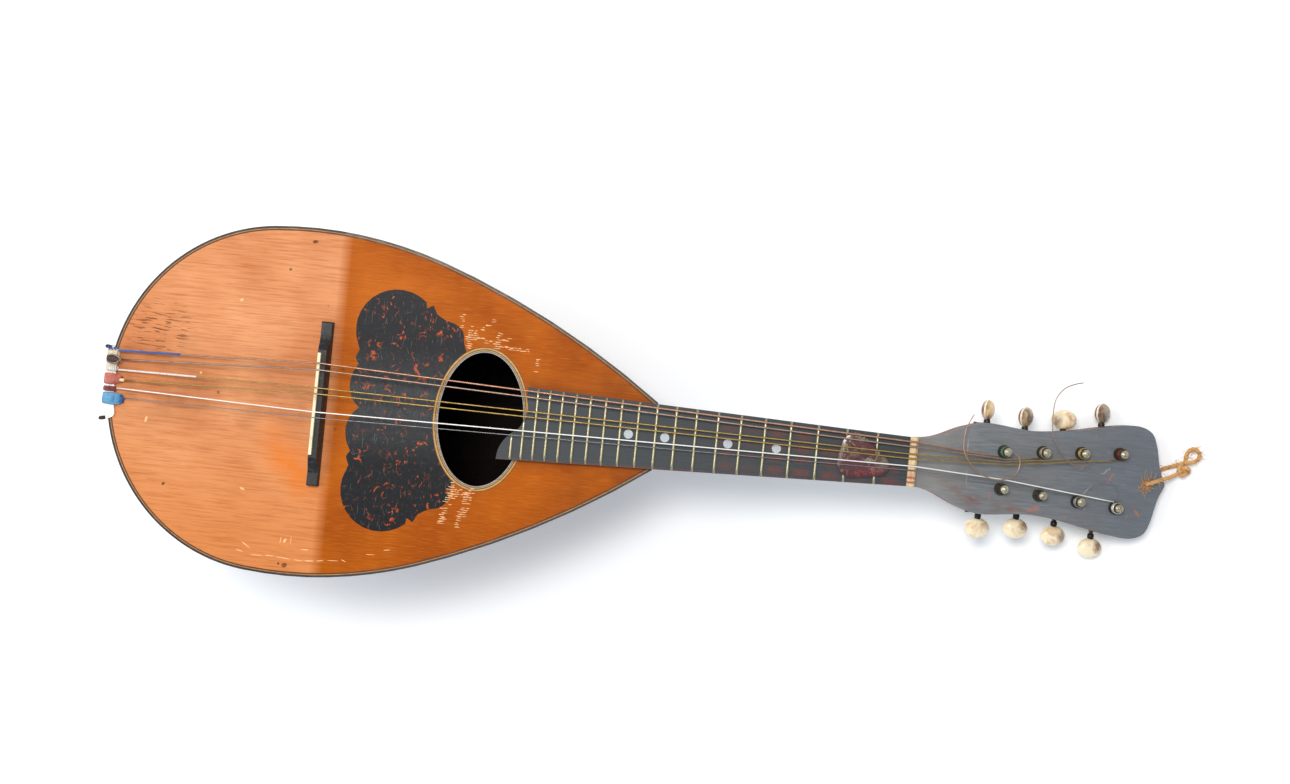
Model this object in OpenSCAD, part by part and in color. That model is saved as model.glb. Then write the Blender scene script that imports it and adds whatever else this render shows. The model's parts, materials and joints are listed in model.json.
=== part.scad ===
// Neapolitan bowl-back mandolin, lying on its back on a flat surface.
// In the instrument's own axes x runs along the strings, from the tail (negative) through the
// nut (0) to the head (positive), y points to the bass side and z out of the soundboard.
// rested() then pitches everything so that the bowl and the end of the head stand on z = 0.

/* [Strings] */
// String length from nut to saddle line
scale_length = 330; // [326:1:334]
// Height of the strings over the soundboard at the saddle
saddle_top = 10.9; // [10:0.1:12]
// Height of the strings over the soundboard plane at the nut
nut_top = 6; // [5.9:0.1:6.4]

/* [Body] */
// Radius of the round tail end of the body
tail_r = 99.5; // [97:0.5:102]
// Depth of the bowl over its half width
bowl_ratio = 1.38; // [1.25:0.01:1.45]
// Number of staves in the bowl
rib_count = 13; // [9:2:15]
// Thickness of a stave
rib_t = 1.6; // [1.2:0.1:2]
// Thickness of the soundboard
board_t = 2.5; // [2:0.1:3]
// Slope of the soundboard behind the bridge
cant_angle = 8; // [6:0.5:9]

/* [Neck and head] */
// Width of the neck at the nut
nut_w = 28.2; // [27.6:0.2:29]
// Thickness of the fingerboard
fingerboard_t = 4; // [3.5:0.5:4]
// Angle between the head and the neck
head_pitch = 10; // [8:1:12]
// Thickness of the head
head_t = 12; // [11:0.5:13]

/* [Tuners] */
// Teeth of each tuner gear
gear_teeth = 13; // [12:1:13]
// Advance of the worm thread in one turn
worm_lead = 2; // [1.9:0.1:2]
// Distance between neighbouring posts along the head
post_step = 23.5; // [23:0.1:24]
// Height of the posts over the face of the head
post_h = 8.5; // [8:0.5:9]

/* [Hidden] */
// Plan outline: three tangent arcs a side, as centre, radius and the angle of the normal from
// the tail at which each arc ends.
tail_c = [-364.5, 0];
shoulder_r = 243;
waist_r = 495;
tail_end = 85;
shoulder_end = 109.7;
joint_x = -144.8;
shoulder_c = tail_c + (tail_r - shoulder_r) * normal(tail_end);
waist_c = shoulder_c + (shoulder_r - waist_r) * normal(shoulder_end);
outline_steps = 44;
cant_x = -332;

// Insets from the outline
binding_w = 1;
purfling_w = 1.5;
rib_inset = 1.5;
inner_inset = rib_inset + rib_t;
lining_w = 4.6;
lining_gap = 1.5;
lining_x = [-441, -190];
block_gap = 0.35;
inlay_t = 0.8;

// Bowl
first_phi = 5;
cant_phi = 90 + asin((cant_x - shoulder_c.x) / (shoulder_r - rib_inset));
joint_phi = phi_at_joint(rib_inset);
rib_phi = concat(
    spaced(first_phi, tail_end, 12),
    [cant_phi],
    spaced(cant_phi + 4, shoulder_end, 4),
    spaced(shoulder_end + 2, joint_phi, 9)
);
clasp_h = 28;
clasp_spread = 65;
clasp_t = 1.2;
clasp_gap = 0.2;

// Soundhole and rosette, half sizes along and across
hole_c = [-245, 0];
hole_half = [24.3, 38.3];
rosette_half = [27.5, 41.5];

// Fingerboard
board_slope = 0.031;
fret_w = 1.6;
fret_h = 1;
fret_depth = 1.4;
full_frets = 18;
dot_r = 2.6;
dot_frets = [5, 7, 10, 12];

// Bridge
saddle_x = -338.5;
bridge_x = [-340, -333.2];
bridge_top = 8.4;
bridge_half = 47;
saddle_half = 29;
saddle_t = 1.6;

// Tailpiece
tailpiece_spread = 12;
flange_in = tail_r - 4.3;
flange_corner = 3.2;
flange_t = 1.2;
plate_in = tail_r + 0.05;
plate_out = plate_in + 1.2;
flange_out = plate_out - 0.35;
wall_spread = tailpiece_spread + 0.2;
plate_low = -46;
lip_r = plate_in + 5;
lip_turn = tailpiece_spread - 0.4;
lip_z = [-42, -18];
hook_turn = [-10, -7.2, -4.3, -1.4, 1.4, 4.3, 7.2, 10];
hook_r = 0.9;
hook_z = -30.4;
hook_out = 2.9;

// Head
head_x = 5;
twine_hole = [140.5, 0];
twine_hole_r = 2.3;
tip_x = 152;
tip_flat = 1.8;

// Tuners
first_post = [51.9, 10.7];
post_spread = 1.65;
post_r = 2.4;
post_foot_r = 1.5;
hole_h = 6.4;
string_hole_r = 0.7;
ferrule_r = 3.3;
running = 0.05;
plate_t = 1.2;
worm_r = 2.65;
worm_core = 1.25;
gear_pitch_r = gear_teeth * worm_lead / (2 * PI);
tooth_h = 0.6;
worm_axis_x = gear_pitch_r + worm_r - tooth_h;
gear_tip_r = gear_pitch_r + tooth_h;
gear_root_r = worm_axis_x - worm_r - 0.15;
gear_t = 2.4;
worm_z = -(head_t + plate_t + worm_r + 0.3);
ear_x = 5.2;
ear_t = 1.4;
plate_screw_x = [40, 64.5, 88, 111.5, 133];
button_y = [[34, 32, 32.6, 38.6], [35.2, 33.5, 35.8, 41.2]];
button_half = [5.8, 7.3, 3.3];
button_turn = [55, 46, -8, 42];

// Strings: radius, start at the tail, y at the saddle, y at the nut, then points over the head
// in its own axes, past the other posts to the winding on the string's own post
STRINGS = [
    [0.5, [-458.5, 19], 23, 11.4, [[49.4, 7.1, 3.8]]],
    [0.5, [-456, 14], 19.2, 8.6, [[51.9, 6.6, 5.2], [72.6, 8.6, 3.8]]],
    [0.4, [-457.5, 8], 9, 4.4, [[51.9, 5.2, 5.2], [75.4, 8.2, 4.8], [96.2, 10.4, 3.8]]],
    [0.4, [-453.5, 2.2], 5.6, 1.8,
        [[51.9, 3.6, 5.3], [75.4, 6.4, 5], [98.9, 9.6, 4.6], [119.8, 12, 3.8]]],
    [0.35, [-457.5, -2.7], -4.7, -2.4,
        [[51.9, -5.2, 5.2], [75.4, -7.6, 4.9], [98.9, -10, 4.5], [120, -12.2, 3.8]]],
    [0.25, [-453, -8], -7.9, -4.8, [[51.9, -7.3, 5], [75.4, -9.1, 4.5], [96.4, -10.6, 3.8]]]
];
course_y = [23, 19.2, 9, 5.6, -4.7, -7.9, -19.8, -22.4];
nut_y = [11.4, 8.6, 4.4, 1.8, -2.4, -4.8, -9, -11.6];

// Scraps of cloth round the string loops: y, width, front x, height
WRAPS = [
    [18.6, 4.4, -459.5, 3], [13.9, 4.6, -456.9, 4.4], [8.8, 4.8, -458.3, 3.6],
    [2.2, 7.8, -454.3, 4], [-3.4, 3, -458.3, 3.6], [-9, 7.6, -453.8, 4.4]
];
wraps_end = -466;

// Rest pose: the pitch at which the bowl and the flat on the head's end are equally low
rest_pitch = solve_pitch(6, 18, 24);
rest_z = -bowl_low(rest_pitch);
tail_reach = turned([tail_c.x - lip_r * cos(lip_turn) - 0.6 * sin(lip_turn), 0, lip_z[0]], rest_pitch).x;
head_reach = turned(from_head([tip_x, 0, 0]), rest_pitch).x;
rest_x = -(tail_reach + head_reach) / 2;
hole_reach = rest_x + turned(from_head([twine_hole.x, 0, 0]), rest_pitch).x;

// Cord through the hole in the head, in the axes of the resting surface, with x from the hole:
// out of its front, over the end of the head to the knot, round the loop and back under the head.
twine_r = 1;
knot_c = [20.6, 9.6, 4.5];
knot_r = 4.4;
TWINE = [
    [0.2, 0, 13.6], [0.9, 0.2, 15.2], [2.2, 0.6, 16.1], [3.9, 1.2, 15.5], [5.9, 2.1, 13.9],
    [8.1, 3, 12.4], [10.3, 3.8, 11.1], [12.5, 4.7, 9.4], [14.7, 5.8, 7.5], [16.7, 7, 6],
    [18.5, 8.2, 5], [20.1, 9.8, 4], [21.1, 12, 3], [21.5, 14.4, 2.2], [21.6, 17, 1.5],
    [22.1, 19.6, 1.1], [23.3, 21.8, 1.1], [25.5, 22.9, 1.2], [27.8, 22.1, 1.6], [29.2, 20, 2.3],
    [28.9, 17.6, 3.1], [27.1, 15.8, 4], [24.7, 14.9, 4.7], [21.9, 14.4, 4.9], [19.1, 13.6, 4.3],
    [16.5, 12.5, 3.2], [13.9, 11.4, 2.2], [11.3, 10.3, 1.4], [8.7, 9, 1.1], [6.3, 7.8, 1.1],
    [4.3, 6.5, 1.25], [2.4, 5.1, 1.65], [0.4, 3.5, 2.15], [-1.6, 1.8, 2.9], [-3, 0.5, 4.3],
    [-3.2, 0, 6]
];

// Plectrum: the centre and radius of each rounded corner
PLECTRUM = [[-16.5, -4, 6], [-31, 5.6, 8], [-32, -4, 8.5]];
plectrum_t = 0.8;

SIDES = ["bass", "treble"];
$fn = 48;

// ---------- numbers and points ----------

function unit(v) = v / norm(v);
function spaced(a, b, n) = [for (i = [0:n - 1]) a + (b - a) * i / (n - 1)];
function mirrored_y(p) = concat(p, [for (i = [len(p) - 1:-1:0]) [p[i].x, -p[i].y]]);
function ellipse(half, n = 48) =
    [for (i = [0:n - 1]) [half.x * cos(i * 360 / n), half.y * sin(i * 360 / n)]];

// A smooth curve through points, with n steps from each to the next.
function curve_at(p, i, t) =
    let (a = p[max(i - 1, 0)], b = p[i], c = p[i + 1], d = p[min(i + 2, len(p) - 1)])
    0.5 * (2 * b + (c - a) * t + (2 * a - 5 * b + 4 * c - d) * t * t
        + (3 * b - a - 3 * c + d) * t * t * t);
function smooth(p, n) =
    concat([for (i = [0:len(p) - 2], k = [0:n - 1]) curve_at(p, i, k / n)], [p[len(p) - 1]]);

// Outline of the body: a point of one half, from the tail, at the angle phi of its normal.
function normal(phi) = [-cos(phi), sin(phi)];
function rim(phi, inset) =
    phi <= tail_end ? tail_c + (tail_r - inset) * normal(phi)
    : phi <= shoulder_end ? shoulder_c + (shoulder_r - inset) * normal(phi)
    : waist_c + (waist_r - inset) * normal(phi);
function phi_at_joint(inset) = 90 + asin((joint_x - waist_c.x) / (waist_r - inset));
function body_outline(inset) =
    mirrored_y([for (phi = spaced(0.01, phi_at_joint(inset), outline_steps)) rim(phi, inset)]);

// Height of the soundboard's top face, which bends down behind cant_x.
function deck_z(x) = min(x - cant_x, 0) * tan(cant_angle);

// A point of the bowl, a degrees round from the bass rim.
function bowl_point(phi, inset, a) =
    let (p = rim(phi, inset))
    [p.x, p.y * cos(a), deck_z(p.x) - board_t - bowl_ratio * p.y * sin(a)];

function board_half(x) = nut_w / 2 - board_slope * x;
function fret_x(n) = -scale_length * (1 - pow(2, -n / 12));

// A point of the head's own axes in the instrument's axes.
function from_head(p) = [
    head_x + p.x * cos(head_pitch) + p.z * sin(head_pitch),
    p.y,
    p.z * cos(head_pitch) - p.x * sin(head_pitch)
];
function turned(p, pitch) = [
    p.x * cos(pitch) + p.z * sin(pitch),
    p.y,
    p.z * cos(pitch) - p.x * sin(pitch)
];
function post_at(i, side) = [first_post.x + i * post_step, side * (first_post.y + i * post_spread)];

// The middle stave is flat across, so the bowl's lowest line lies at half its angle from straight down.
function bowl_low(pitch) =
    min([for (phi = rib_phi) turned(bowl_point(phi, rib_inset, 90 - 90 / rib_count), pitch).z]);
function head_low(pitch) = turned(from_head([tip_x, 0, -head_t]), pitch).z + tip_flat;
function solve_pitch(lo, hi, n) =
    let (mid = (lo + hi) / 2)
    n == 0 ? mid
    : head_low(mid) > bowl_low(mid) ? solve_pitch(mid, hi, n - 1)
    : solve_pitch(lo, mid, n - 1);

// ---------- general shapes ----------

// A solid through rings of points, each anticlockwise when seen from the last ring.
module loft(rings) {
    n = len(rings);
    m = len(rings[0]);
    sides = [
        for (k = [0:n - 2], j = [0:m - 1])
            let (a = k * m + j, b = k * m + (j + 1) % m, c = a + m, d = b + m)
            each (j < m / 2 ? [[a, c, d], [a, d, b]] : [[a, c, b], [c, d, b]])
    ];
    caps = [[for (j = [0:m - 1]) j], [for (j = [m - 1:-1:0]) (n - 1) * m + j]];
    polyhedron([for (ring = rings) each ring], concat(sides, caps), convexity = 6);
}

// A round tube along points.
module tube(path, r, sides = 8) {
    last = len(path) - 1;
    along = [for (i = [0:last]) unit(path[min(i + 1, last)] - path[max(i - 1, 0)])];
    first_across = unit(cross(along[0], [0.13, 0.21, 1]));
    across = [
        for (i = 0, u = first_across; i <= last;
            i = i + 1, u = i <= last ? unit(u - (u * along[i]) * along[i]) : u) u
    ];
    loft([
        for (i = [0:last])
            let (v = cross(along[i], across[i]))
            [for (j = [0:sides - 1])
                path[i] + r * (cos(j * 360 / sides) * across[i] + sin(j * 360 / sides) * v)]
    ]);
}

module deck_layer(top, bottom) {
    far = -480;
    near = joint_x + 20;
    rotate([90, 0, 0])
        linear_extrude(height = 240, center = true)
            polygon([
                [near, top], [cant_x, top], [far, deck_z(far) + top],
                [far, deck_z(far) + bottom], [cant_x, bottom], [near, bottom]
            ]);
}

// A plan shape given the thickness between two heights over the soundboard's top face.
module on_deck(top, bottom) {
    intersection() {
        linear_extrude(height = 100, center = true) children();
        deck_layer(top, bottom);
    }
}

module outline(inset) polygon(body_outline(inset));

module rim_strip(outer, inner) {
    difference() {
        outline(outer);
        outline(inner);
    }
}

module slice(x0, x1, half = 130)
    translate([x0, -half]) square([x1 - x0, 2 * half]);

module head_axes() translate([head_x, 0, 0]) rotate([0, head_pitch, 0]) children();

module rested() translate([rest_x, 0, rest_z]) rotate([0, rest_pitch, 0]) children();

// Everything below the resting surface, in the instrument's axes.
module below_rest() {
    rotate([0, -rest_pitch, 0])
        translate([-rest_x, 0, -rest_z])
            translate([-400, -100, -60])
                cube([800, 200, 60]);
}

// ---------- body ----------

module rosette_shape(half) translate(hole_c) polygon(ellipse(half));

module pickguard_shape() {
    lobe_c = [-297.5, 46];
    lobe_r = 23.4;
    lobe = [for (a = [205:-12:49]) lobe_c + lobe_r * [cos(a), sin(a)]];
    waist = smooth([[-314.8, 0], [-318.6, 4], [-321.2, 11], [-320.4, 19], [-317.4, 25]], 4);
    bump = smooth([[-317.4, 25], [-319.4, 28.5], [-317.6, 33]], 3);
    horn = [[-281.5, 60.2], [-278, 62.2], [-275.4, 57.4]];
    neck_side = smooth([
        [-275.4, 57.4], [-270.4, 54.5], [-264, 52.6], [-259.6, 48.6], [-258.4, 42], [-256, 36]
    ], 3);
    difference() {
        polygon(mirrored_y(concat(waist, bump, lobe, horn, neck_side, [[-245, 20]])));
        rosette_shape(rosette_half);
    }
}

module soundboard() color([0.78, 0.45, 0.18]) difference() {
    on_deck(0, -board_t) outline(binding_w);
    linear_extrude(height = 10, center = true) rosette_shape(hole_half);
    on_deck(1, -inlay_t) rosette_shape(rosette_half);
    on_deck(1, -inlay_t) pickguard_shape();
    on_deck(1, -inlay_t) rim_strip(0, binding_w + purfling_w);
}

module edge_binding() color([0.06, 0.05, 0.05]) on_deck(0, -board_t) rim_strip(0, binding_w);

module purfling() color([0.8, 0.62, 0.3])
    on_deck(0, -inlay_t) rim_strip(binding_w, binding_w + purfling_w);

module rosette() color([0.85, 0.7, 0.25]) on_deck(0, -inlay_t) difference() {
    rosette_shape(rosette_half);
    rosette_shape(hole_half);
}

module pickguard() color([0.15, 0.17, 0.19]) on_deck(0, -inlay_t) pickguard_shape();

module rib(i) {
    a0 = i * 180 / rib_count;
    a1 = (i + 1) * 180 / rib_count;
    loft([
        for (phi = rib_phi) [
            bowl_point(phi, rib_inset, a1), bowl_point(phi, rib_inset, a0),
            bowl_point(phi, inner_inset, a0), bowl_point(phi, inner_inset, a1)
        ]
    ]);
}

module bowl_ribs() color([0.45, 0.22, 0.1]) for (i = [0:rib_count - 1]) rib(i);

// Strip that caps the ends of the staves round the tail, level with the soundboard's edge.
function bowl_r(depth) = sqrt(pow(tail_r - rib_inset, 2) - pow(depth / bowl_ratio, 2));
function clasp_point(turn, gap, depth) =
    let (p = tail_c + (bowl_r(depth) + gap) * [-cos(turn), sin(turn)])
    [p.x, p.y, deck_z(p.x) - board_t - depth];

module end_clasp() color([0.35, 0.17, 0.08]) loft([
    for (turn = spaced(clasp_spread, -clasp_spread, 27)) concat(
        [for (depth = [9, 18, clasp_h]) clasp_point(turn, clasp_gap + clasp_t, depth)],
        [for (depth = [clasp_h, 18, 9, 0]) clasp_point(turn, clasp_gap, depth)],
        [clasp_point(turn, clasp_gap + clasp_t, 0)]
    )
]);

// Blocks that fill the narrow ends of the bowl.
module block(phis) loft([
    for (phi = phis)
        [for (i = [rib_count:-1:0]) bowl_point(phi, inner_inset + block_gap, i * 180 / rib_count)]
]);

module end_blocks() color([0.75, 0.6, 0.4]) {
    block(spaced(shoulder_end + 12, joint_phi - 0.2, 5));
    block([first_phi + 1, 14, 22, 28, 33]);
}

module linings() color([0.75, 0.6, 0.4]) on_deck(-board_t, -board_t - 6) intersection() {
    rim_strip(inner_inset + lining_gap, inner_inset + lining_w);
    slice(lining_x[0], lining_x[1]);
}

module brace(x, half, h) on_deck(-board_t, -board_t - h) slice(x - 3, x + 3, half);

module braces() color([0.8, 0.65, 0.42]) {
    brace(-204, 43, 9);
    brace(-286, 80, 9);
    brace(-398, 83, 7);
}

// ---------- neck and head ----------

function neck_ring(x, half, depth, power) = [
    for (a = [180:-15:0])
        [x, half * sign(cos(a)) * pow(abs(cos(a)), power), -depth * pow(sin(a), power)]
];

module neck() color([0.16, 0.11, 0.09]) loft(concat(
    [
        neck_ring(joint_x, board_half(joint_x), 27.6, 1),
        neck_ring(-134, board_half(-134), 24.6, 1),
        neck_ring(-118, board_half(-118), 22.2, 0.95),
        neck_ring(-80, board_half(-80), 20.4, 0.9),
        neck_ring(-40, board_half(-40), 19, 0.9),
        neck_ring(-14, board_half(-14), 18, 0.9),
        neck_ring(-4, board_half(-4), 15.6, 0.75)
    ],
    [[for (p = neck_ring(0, nut_w / 2, head_t, 0.5)) from_head(p)]]
));

function head_edge() = smooth([
    [0, 14.1], [8, 15], [15, 17.2], [25, 21.8], [32, 24.2], [40, 26.3], [50, 25.8], [62, 24.6],
    [74, 24.3], [92, 26.3], [108, 29.5], [124, 32.4], [134, 32.8], [141.5, 29.5], [145, 22.5],
    [146.8, 15], [148.6, 8], [tip_x, 0.6]
], 4);

module headstock() color([0.36, 0.38, 0.4]) difference() {
    head_axes() difference() {
        translate([0, 0, -head_t])
            linear_extrude(height = head_t) polygon(mirrored_y(head_edge()));
        for (i = [0:3], side = [-1, 1])
            translate([post_at(i, side).x, post_at(i, side).y, -head_t - 1])
                cylinder(r = ferrule_r, h = head_t + 2);
        translate([twine_hole.x, twine_hole.y, -head_t - 1])
            cylinder(r = twine_hole_r, h = head_t + 2);
        translate([twine_hole.x, twine_hole.y, -head_t - 1])
            rotate([0, 0, 38]) translate([0, -1.6, 0]) cube([30, 3.2, 4.2]);
    }
    below_rest();
}

function board_end() = smooth([
    [-219.4, 21], [-219, 15], [-218.4, 8.8], [-219.4, 3.3], [-222.4, -2.5], [-226.8, -6],
    [-230.7, -10.6], [-233.2, -15.8], [-234, -21.4]
], 3);

module board_shape() polygon(concat([[0, nut_w / 2]], board_end(), [[0, -nut_w / 2]]));

// Frets 19 and 20 reach only from the treble edge to the curved end.
function fret_reach(n) = n <= full_frets ? board_half(fret_x(n)) : n == 19 ? 2.6 : -7.2;

module fret_bar(n, w, top) {
    half = board_half(fret_x(n));
    translate([fret_x(n) - w / 2, -half + 0.1, fingerboard_t - fret_depth])
        cube([w, half + fret_reach(n) - 0.2, fret_depth + top]);
}

module fingerboard() color([0.22, 0.25, 0.27]) difference() {
    linear_extrude(height = fingerboard_t) board_shape();
    for (n = [1:20]) fret_bar(n, fret_w, 1);
    for (n = dot_frets)
        translate([(fret_x(n) + fret_x(n - 1)) / 2, 0, fingerboard_t - inlay_t])
            cylinder(r = dot_r, h = 3);
}

module frets() color([0.75, 0.68, 0.5]) for (n = [1:20]) fret_bar(n, fret_w, fret_h);

module position_dots() color([0.85, 0.85, 0.8]) for (n = dot_frets)
    translate([(fret_x(n) + fret_x(n - 1)) / 2, 0, fingerboard_t - inlay_t])
        cylinder(r = dot_r, h = inlay_t);

// The missing course's slots are cut for thin strings.
function string_r(i) = i < len(STRINGS) ? STRINGS[i][0] : 0.2;

module nut() color([0.9, 0.8, 0.55]) difference() {
    rotate([90, 0, 0])
        linear_extrude(height = nut_w, center = true)
            polygon([[0, 0], [4.7, 0], [4.7, nut_top - 1], [3.4, nut_top + 0.5], [0, nut_top + 0.7]]);
    for (i = [0:len(nut_y) - 1])
        translate([-1, nut_y[i], nut_top + string_r(i) + 0.02])
            rotate([0, 90, 0]) cylinder(r = string_r(i) + 0.05, h = 8);
    for (i = [0:len(nut_y) - 1])
        translate([-1, nut_y[i] - string_r(i) - 0.05, nut_top + string_r(i) + 0.02])
            cube([8, 2 * string_r(i) + 0.1, 3]);
}

// ---------- bridge ----------

// Top edge of the bridge's side view, from the middle to one foot.
function bridge_top_edge() = concat(
    [[0, bridge_top], [29.6, bridge_top]],
    smooth([[30.6, bridge_top], [33.2, 6.6], [36.4, 4.4], [39.4, 3.4]], 4),
    [[40.4, 3.4], [40.4, 4], [46.2, 4], [bridge_half, 3]]
);

module bridge_side() {
    edge = bridge_top_edge();
    far_half = [for (i = [len(edge) - 1:-1:0]) [-edge[i].x, edge[i].y]];
    polygon(concat([[-bridge_half, -4]], far_half, edge, [[bridge_half, -4]]));
}

module bridge_section() polygon([
    [bridge_x[0], deck_z(bridge_x[0])], [bridge_x[1], deck_z(bridge_x[1])],
    [bridge_x[1] - 0.4, 2], [bridge_x[1] - 1.8, bridge_top],
    [bridge_x[0] + 0.2, bridge_top], [bridge_x[0], 2.5]
]);

module bridge() color([0.1, 0.09, 0.09]) difference() {
    intersection() {
        rotate([90, 0, 0])
            linear_extrude(height = 2 * bridge_half, center = true) bridge_section();
        rotate([90, 0, 90])
            translate([0, 0, bridge_x[0] - 2]) linear_extrude(height = 14) bridge_side();
    }
    saddle_slot(3);
}

module saddle_slot(top) translate([saddle_x - saddle_t / 2, -saddle_half, bridge_top - 2])
    cube([saddle_t, 2 * saddle_half, 2 + top]);

module saddle() color([0.93, 0.85, 0.65]) difference() {
    saddle_slot(saddle_top - bridge_top + 0.5);
    for (i = [0:len(course_y) - 1])
        translate([saddle_x - 2, course_y[i] - string_r(i) - 0.03, saddle_top - 0.02])
            cube([4, 2 * string_r(i) + 0.06, 2]);
}

// ---------- tailpiece and strings ----------

// Inner edge of the flange, a degrees from its middle, with rounded corners.
function flange_r(a) =
    let (t = (abs(a) - tailpiece_spread) * flange_in * PI / 180 / flange_corner + 1)
    flange_in + (t > 0 ? flange_corner * (1 - sqrt(max(1 - t * t, 0))) : 0);

module flange_shape() {
    corner_turn = flange_corner / flange_in * 180 / PI;
    straight = tailpiece_spread - corner_turn;
    turns = concat(
        [for (t = [1:-0.2:0.2]) -straight - t * corner_turn],
        spaced(-straight, straight, 9),
        [for (t = [0.2:0.2:1]) straight + t * corner_turn]
    );
    translate(tail_c) polygon(concat(
        [for (a = turns) flange_r(a) * [-cos(a), sin(a)]],
        [for (a = spaced(tailpiece_spread, -tailpiece_spread, 9)) flange_out * [-cos(a), sin(a)]]
    ));
}

// A ring segment about the tail's centre, r0 to r1 and z0 to z1.
module tail_wall(r0, r1, z0, z1) translate([tail_c.x, tail_c.y, z0])
    rotate([0, 0, 180 - wall_spread])
        rotate_extrude(angle = 2 * wall_spread) translate([r0, 0]) square([r1 - r0, z1 - z0]);

// Along the outward normal of the end plate.
module at_tail(turn, z) translate([tail_c.x, 0, z]) rotate([0, 0, 180 - turn])
    translate([plate_in, 0, 0]) rotate([0, 90, 0]) children();

module tailpiece() color([0.85, 0.85, 0.82]) {
    on_deck(flange_t, 0) flange_shape();
    tail_wall(plate_in, plate_out, plate_low, deck_z(tail_c.x - plate_out) + flange_t - 0.3);
    for (side = [-1, 1])
        translate(tail_c) rotate([0, 0, 180 - side * lip_turn])
            translate([plate_in, -0.6, lip_z[0]]) cube([lip_r - plate_in, 1.2, lip_z[1] - lip_z[0]]);
    for (turn = hook_turn) at_tail(turn, hook_z)
        translate([0, 0, 0.6]) cylinder(r = hook_r, h = plate_out - plate_in + hook_out);
}

module hook_wraps() color([0.6, 0.75, 0.9]) for (wrap = WRAPS)
    on_deck(flange_t + wrap[3], flange_t) hull()
        for (side = [-1, 1], x = [wraps_end, wrap[2] - 1.4])
            translate([x, wrap[0] + side * (wrap[1] / 2 - 1.2)]) circle(r = 1.2, $fn = 16);

function string_path(s) =
    let (r = s[0])
    concat(
        [
            [s[1].x, s[1].y, deck_z(s[1].x) + 3.4],
            [saddle_x - 1.2, s[2], saddle_top + r],
            [saddle_x + 1.2, s[2], saddle_top + r],
            [0.5, s[3], nut_top + r],
            [3.8, s[3], nut_top + r]
        ],
        [for (p = s[4]) from_head(p)]
    );

// Loose ends of the strings beyond their posts, as head x, y and height over the face.
TAILS = [
    [0.3, [[56.4, 10.2, 7], [59, 7.5, 7.6], [58.6, 1.5, 8], [55, -3.2, 8.4], [47.6, -5.4, 8.6],
        [39.4, -4.4, 8.6], [33.4, -1.4, 8.4], [28.6, 3.4, 8], [25.6, 8.6, 7.4], [25, 14.6, 6.6],
        [25.8, 20.8, 5.8], [27.8, 26, 5.4], [30, 30.4, 5.4]]],
    [0.3, [[103.2, 12.8, 6.8], [100.8, 8.6, 7.6], [96, 6.4, 8], [90, 7.6, 8.4], [83.6, 12.6, 8.8],
        [78.6, 19.6, 9], [76.4, 26, 9.2], [75.6, 36, 9.6], [76.5, 44, 10], [80.6, 50, 10.4],
        [86, 53, 10.8], [91.5, 54.6, 11]]],
    [0.22, [[99.8, -9.6, 6.4], [101.6, -6.4, 7], [105.4, -2.6, 7.4], [110.8, -0.6, 7.6],
        [116.4, -0.8, 7.4], [120.2, -4.6, 7], [122, -10.8, 6.6]]]
];

module strings() color([0.7, 0.5, 0.35]) {
    for (s = STRINGS) tube(string_path(s), s[0]);
    for (tail = TAILS) tube([for (p = smooth(tail[1], 2)) from_head(p)], tail[0], 6);
}

// ---------- tuners ----------

module at_post(i, side) head_axes() mirror([0, side < 0 ? 1 : 0, 0])
    translate([post_at(i, 1).x, post_at(i, 1).y, 0]) children();

// The post, with the string wound on it where there is one.
module post(i, side) color([0.6, 0.57, 0.48]) at_post(i, side) {
    difference() {
        union() {
            translate([0, 0, -head_t - plate_t - 0.1])
                cylinder(r = post_r, h = head_t + plate_t + post_h - 0.9);
            translate([0, 0, post_h - 1.2]) intersection() {
                cylinder(r = post_r, h = 2);
                translate([0, 0, -1.6]) sphere(r = 3);
            }
            translate([0, 0, worm_z - gear_t / 2 - 1]) cylinder(r = post_foot_r, h = head_t - 4);
        }
        translate([0, -4, hole_h]) rotate([-90, 0, 0]) cylinder(r = string_hole_r, h = 8);
    }
    if (strung(i, side))
        translate([0, 0, 2]) difference() {
            cylinder(r = post_r + 0.6, h = 3.4);
            translate([0, 0, -1]) cylinder(r = post_r + 0.01, h = 6);
        }
}

function strung(i, side) = side > 0 || i > 1;

module gear_profile() {
    step = 360 / gear_teeth;
    polygon([
        for (k = [0:gear_teeth - 1])
            let (a = 180 + (k + 0.5) * step)
            each [
                gear_root_r * [cos(a - 0.33 * step), sin(a - 0.33 * step)],
                gear_tip_r * [cos(a - 0.11 * step), sin(a - 0.11 * step)],
                gear_tip_r * [cos(a + 0.11 * step), sin(a + 0.11 * step)],
                gear_root_r * [cos(a + 0.33 * step), sin(a + 0.33 * step)]
            ]
    ]);
}

// The gear with the small screw that holds it on the post's foot.
module gear(i, side) color([0.75, 0.6, 0.3]) at_post(i, side) {
    translate([0, 0, worm_z - gear_t / 2]) linear_extrude(height = gear_t) difference() {
        gear_profile();
        circle(r = post_foot_r);
    }
    translate([0, 0, worm_z - gear_t / 2 - 2]) difference() {
        cylinder(r = 2.6, h = 1);
        translate([-4, -0.4, -1]) cube([8, 0.8, 1.4]);
    }
}

// One helical thread, standing on the core.
module thread() {
    steps = 14;
    turns = 3;
    in_r = worm_core / cos(180 / steps) + 0.01;
    loft([
        for (k = [0:turns * steps])
            let (
                a = 180 - k * 360 / steps,
                y = worm_lead * (k / steps - turns / 2),
                way = [cos(a), 0, sin(a)]
            )
            [
                in_r * way + [0, y + 0.62, 0], worm_r * way + [0, y + 0.22, 0],
                worm_r * way + [0, y - 0.22, 0], in_r * way + [0, y - 0.62, 0]
            ]
    ]);
}

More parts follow.
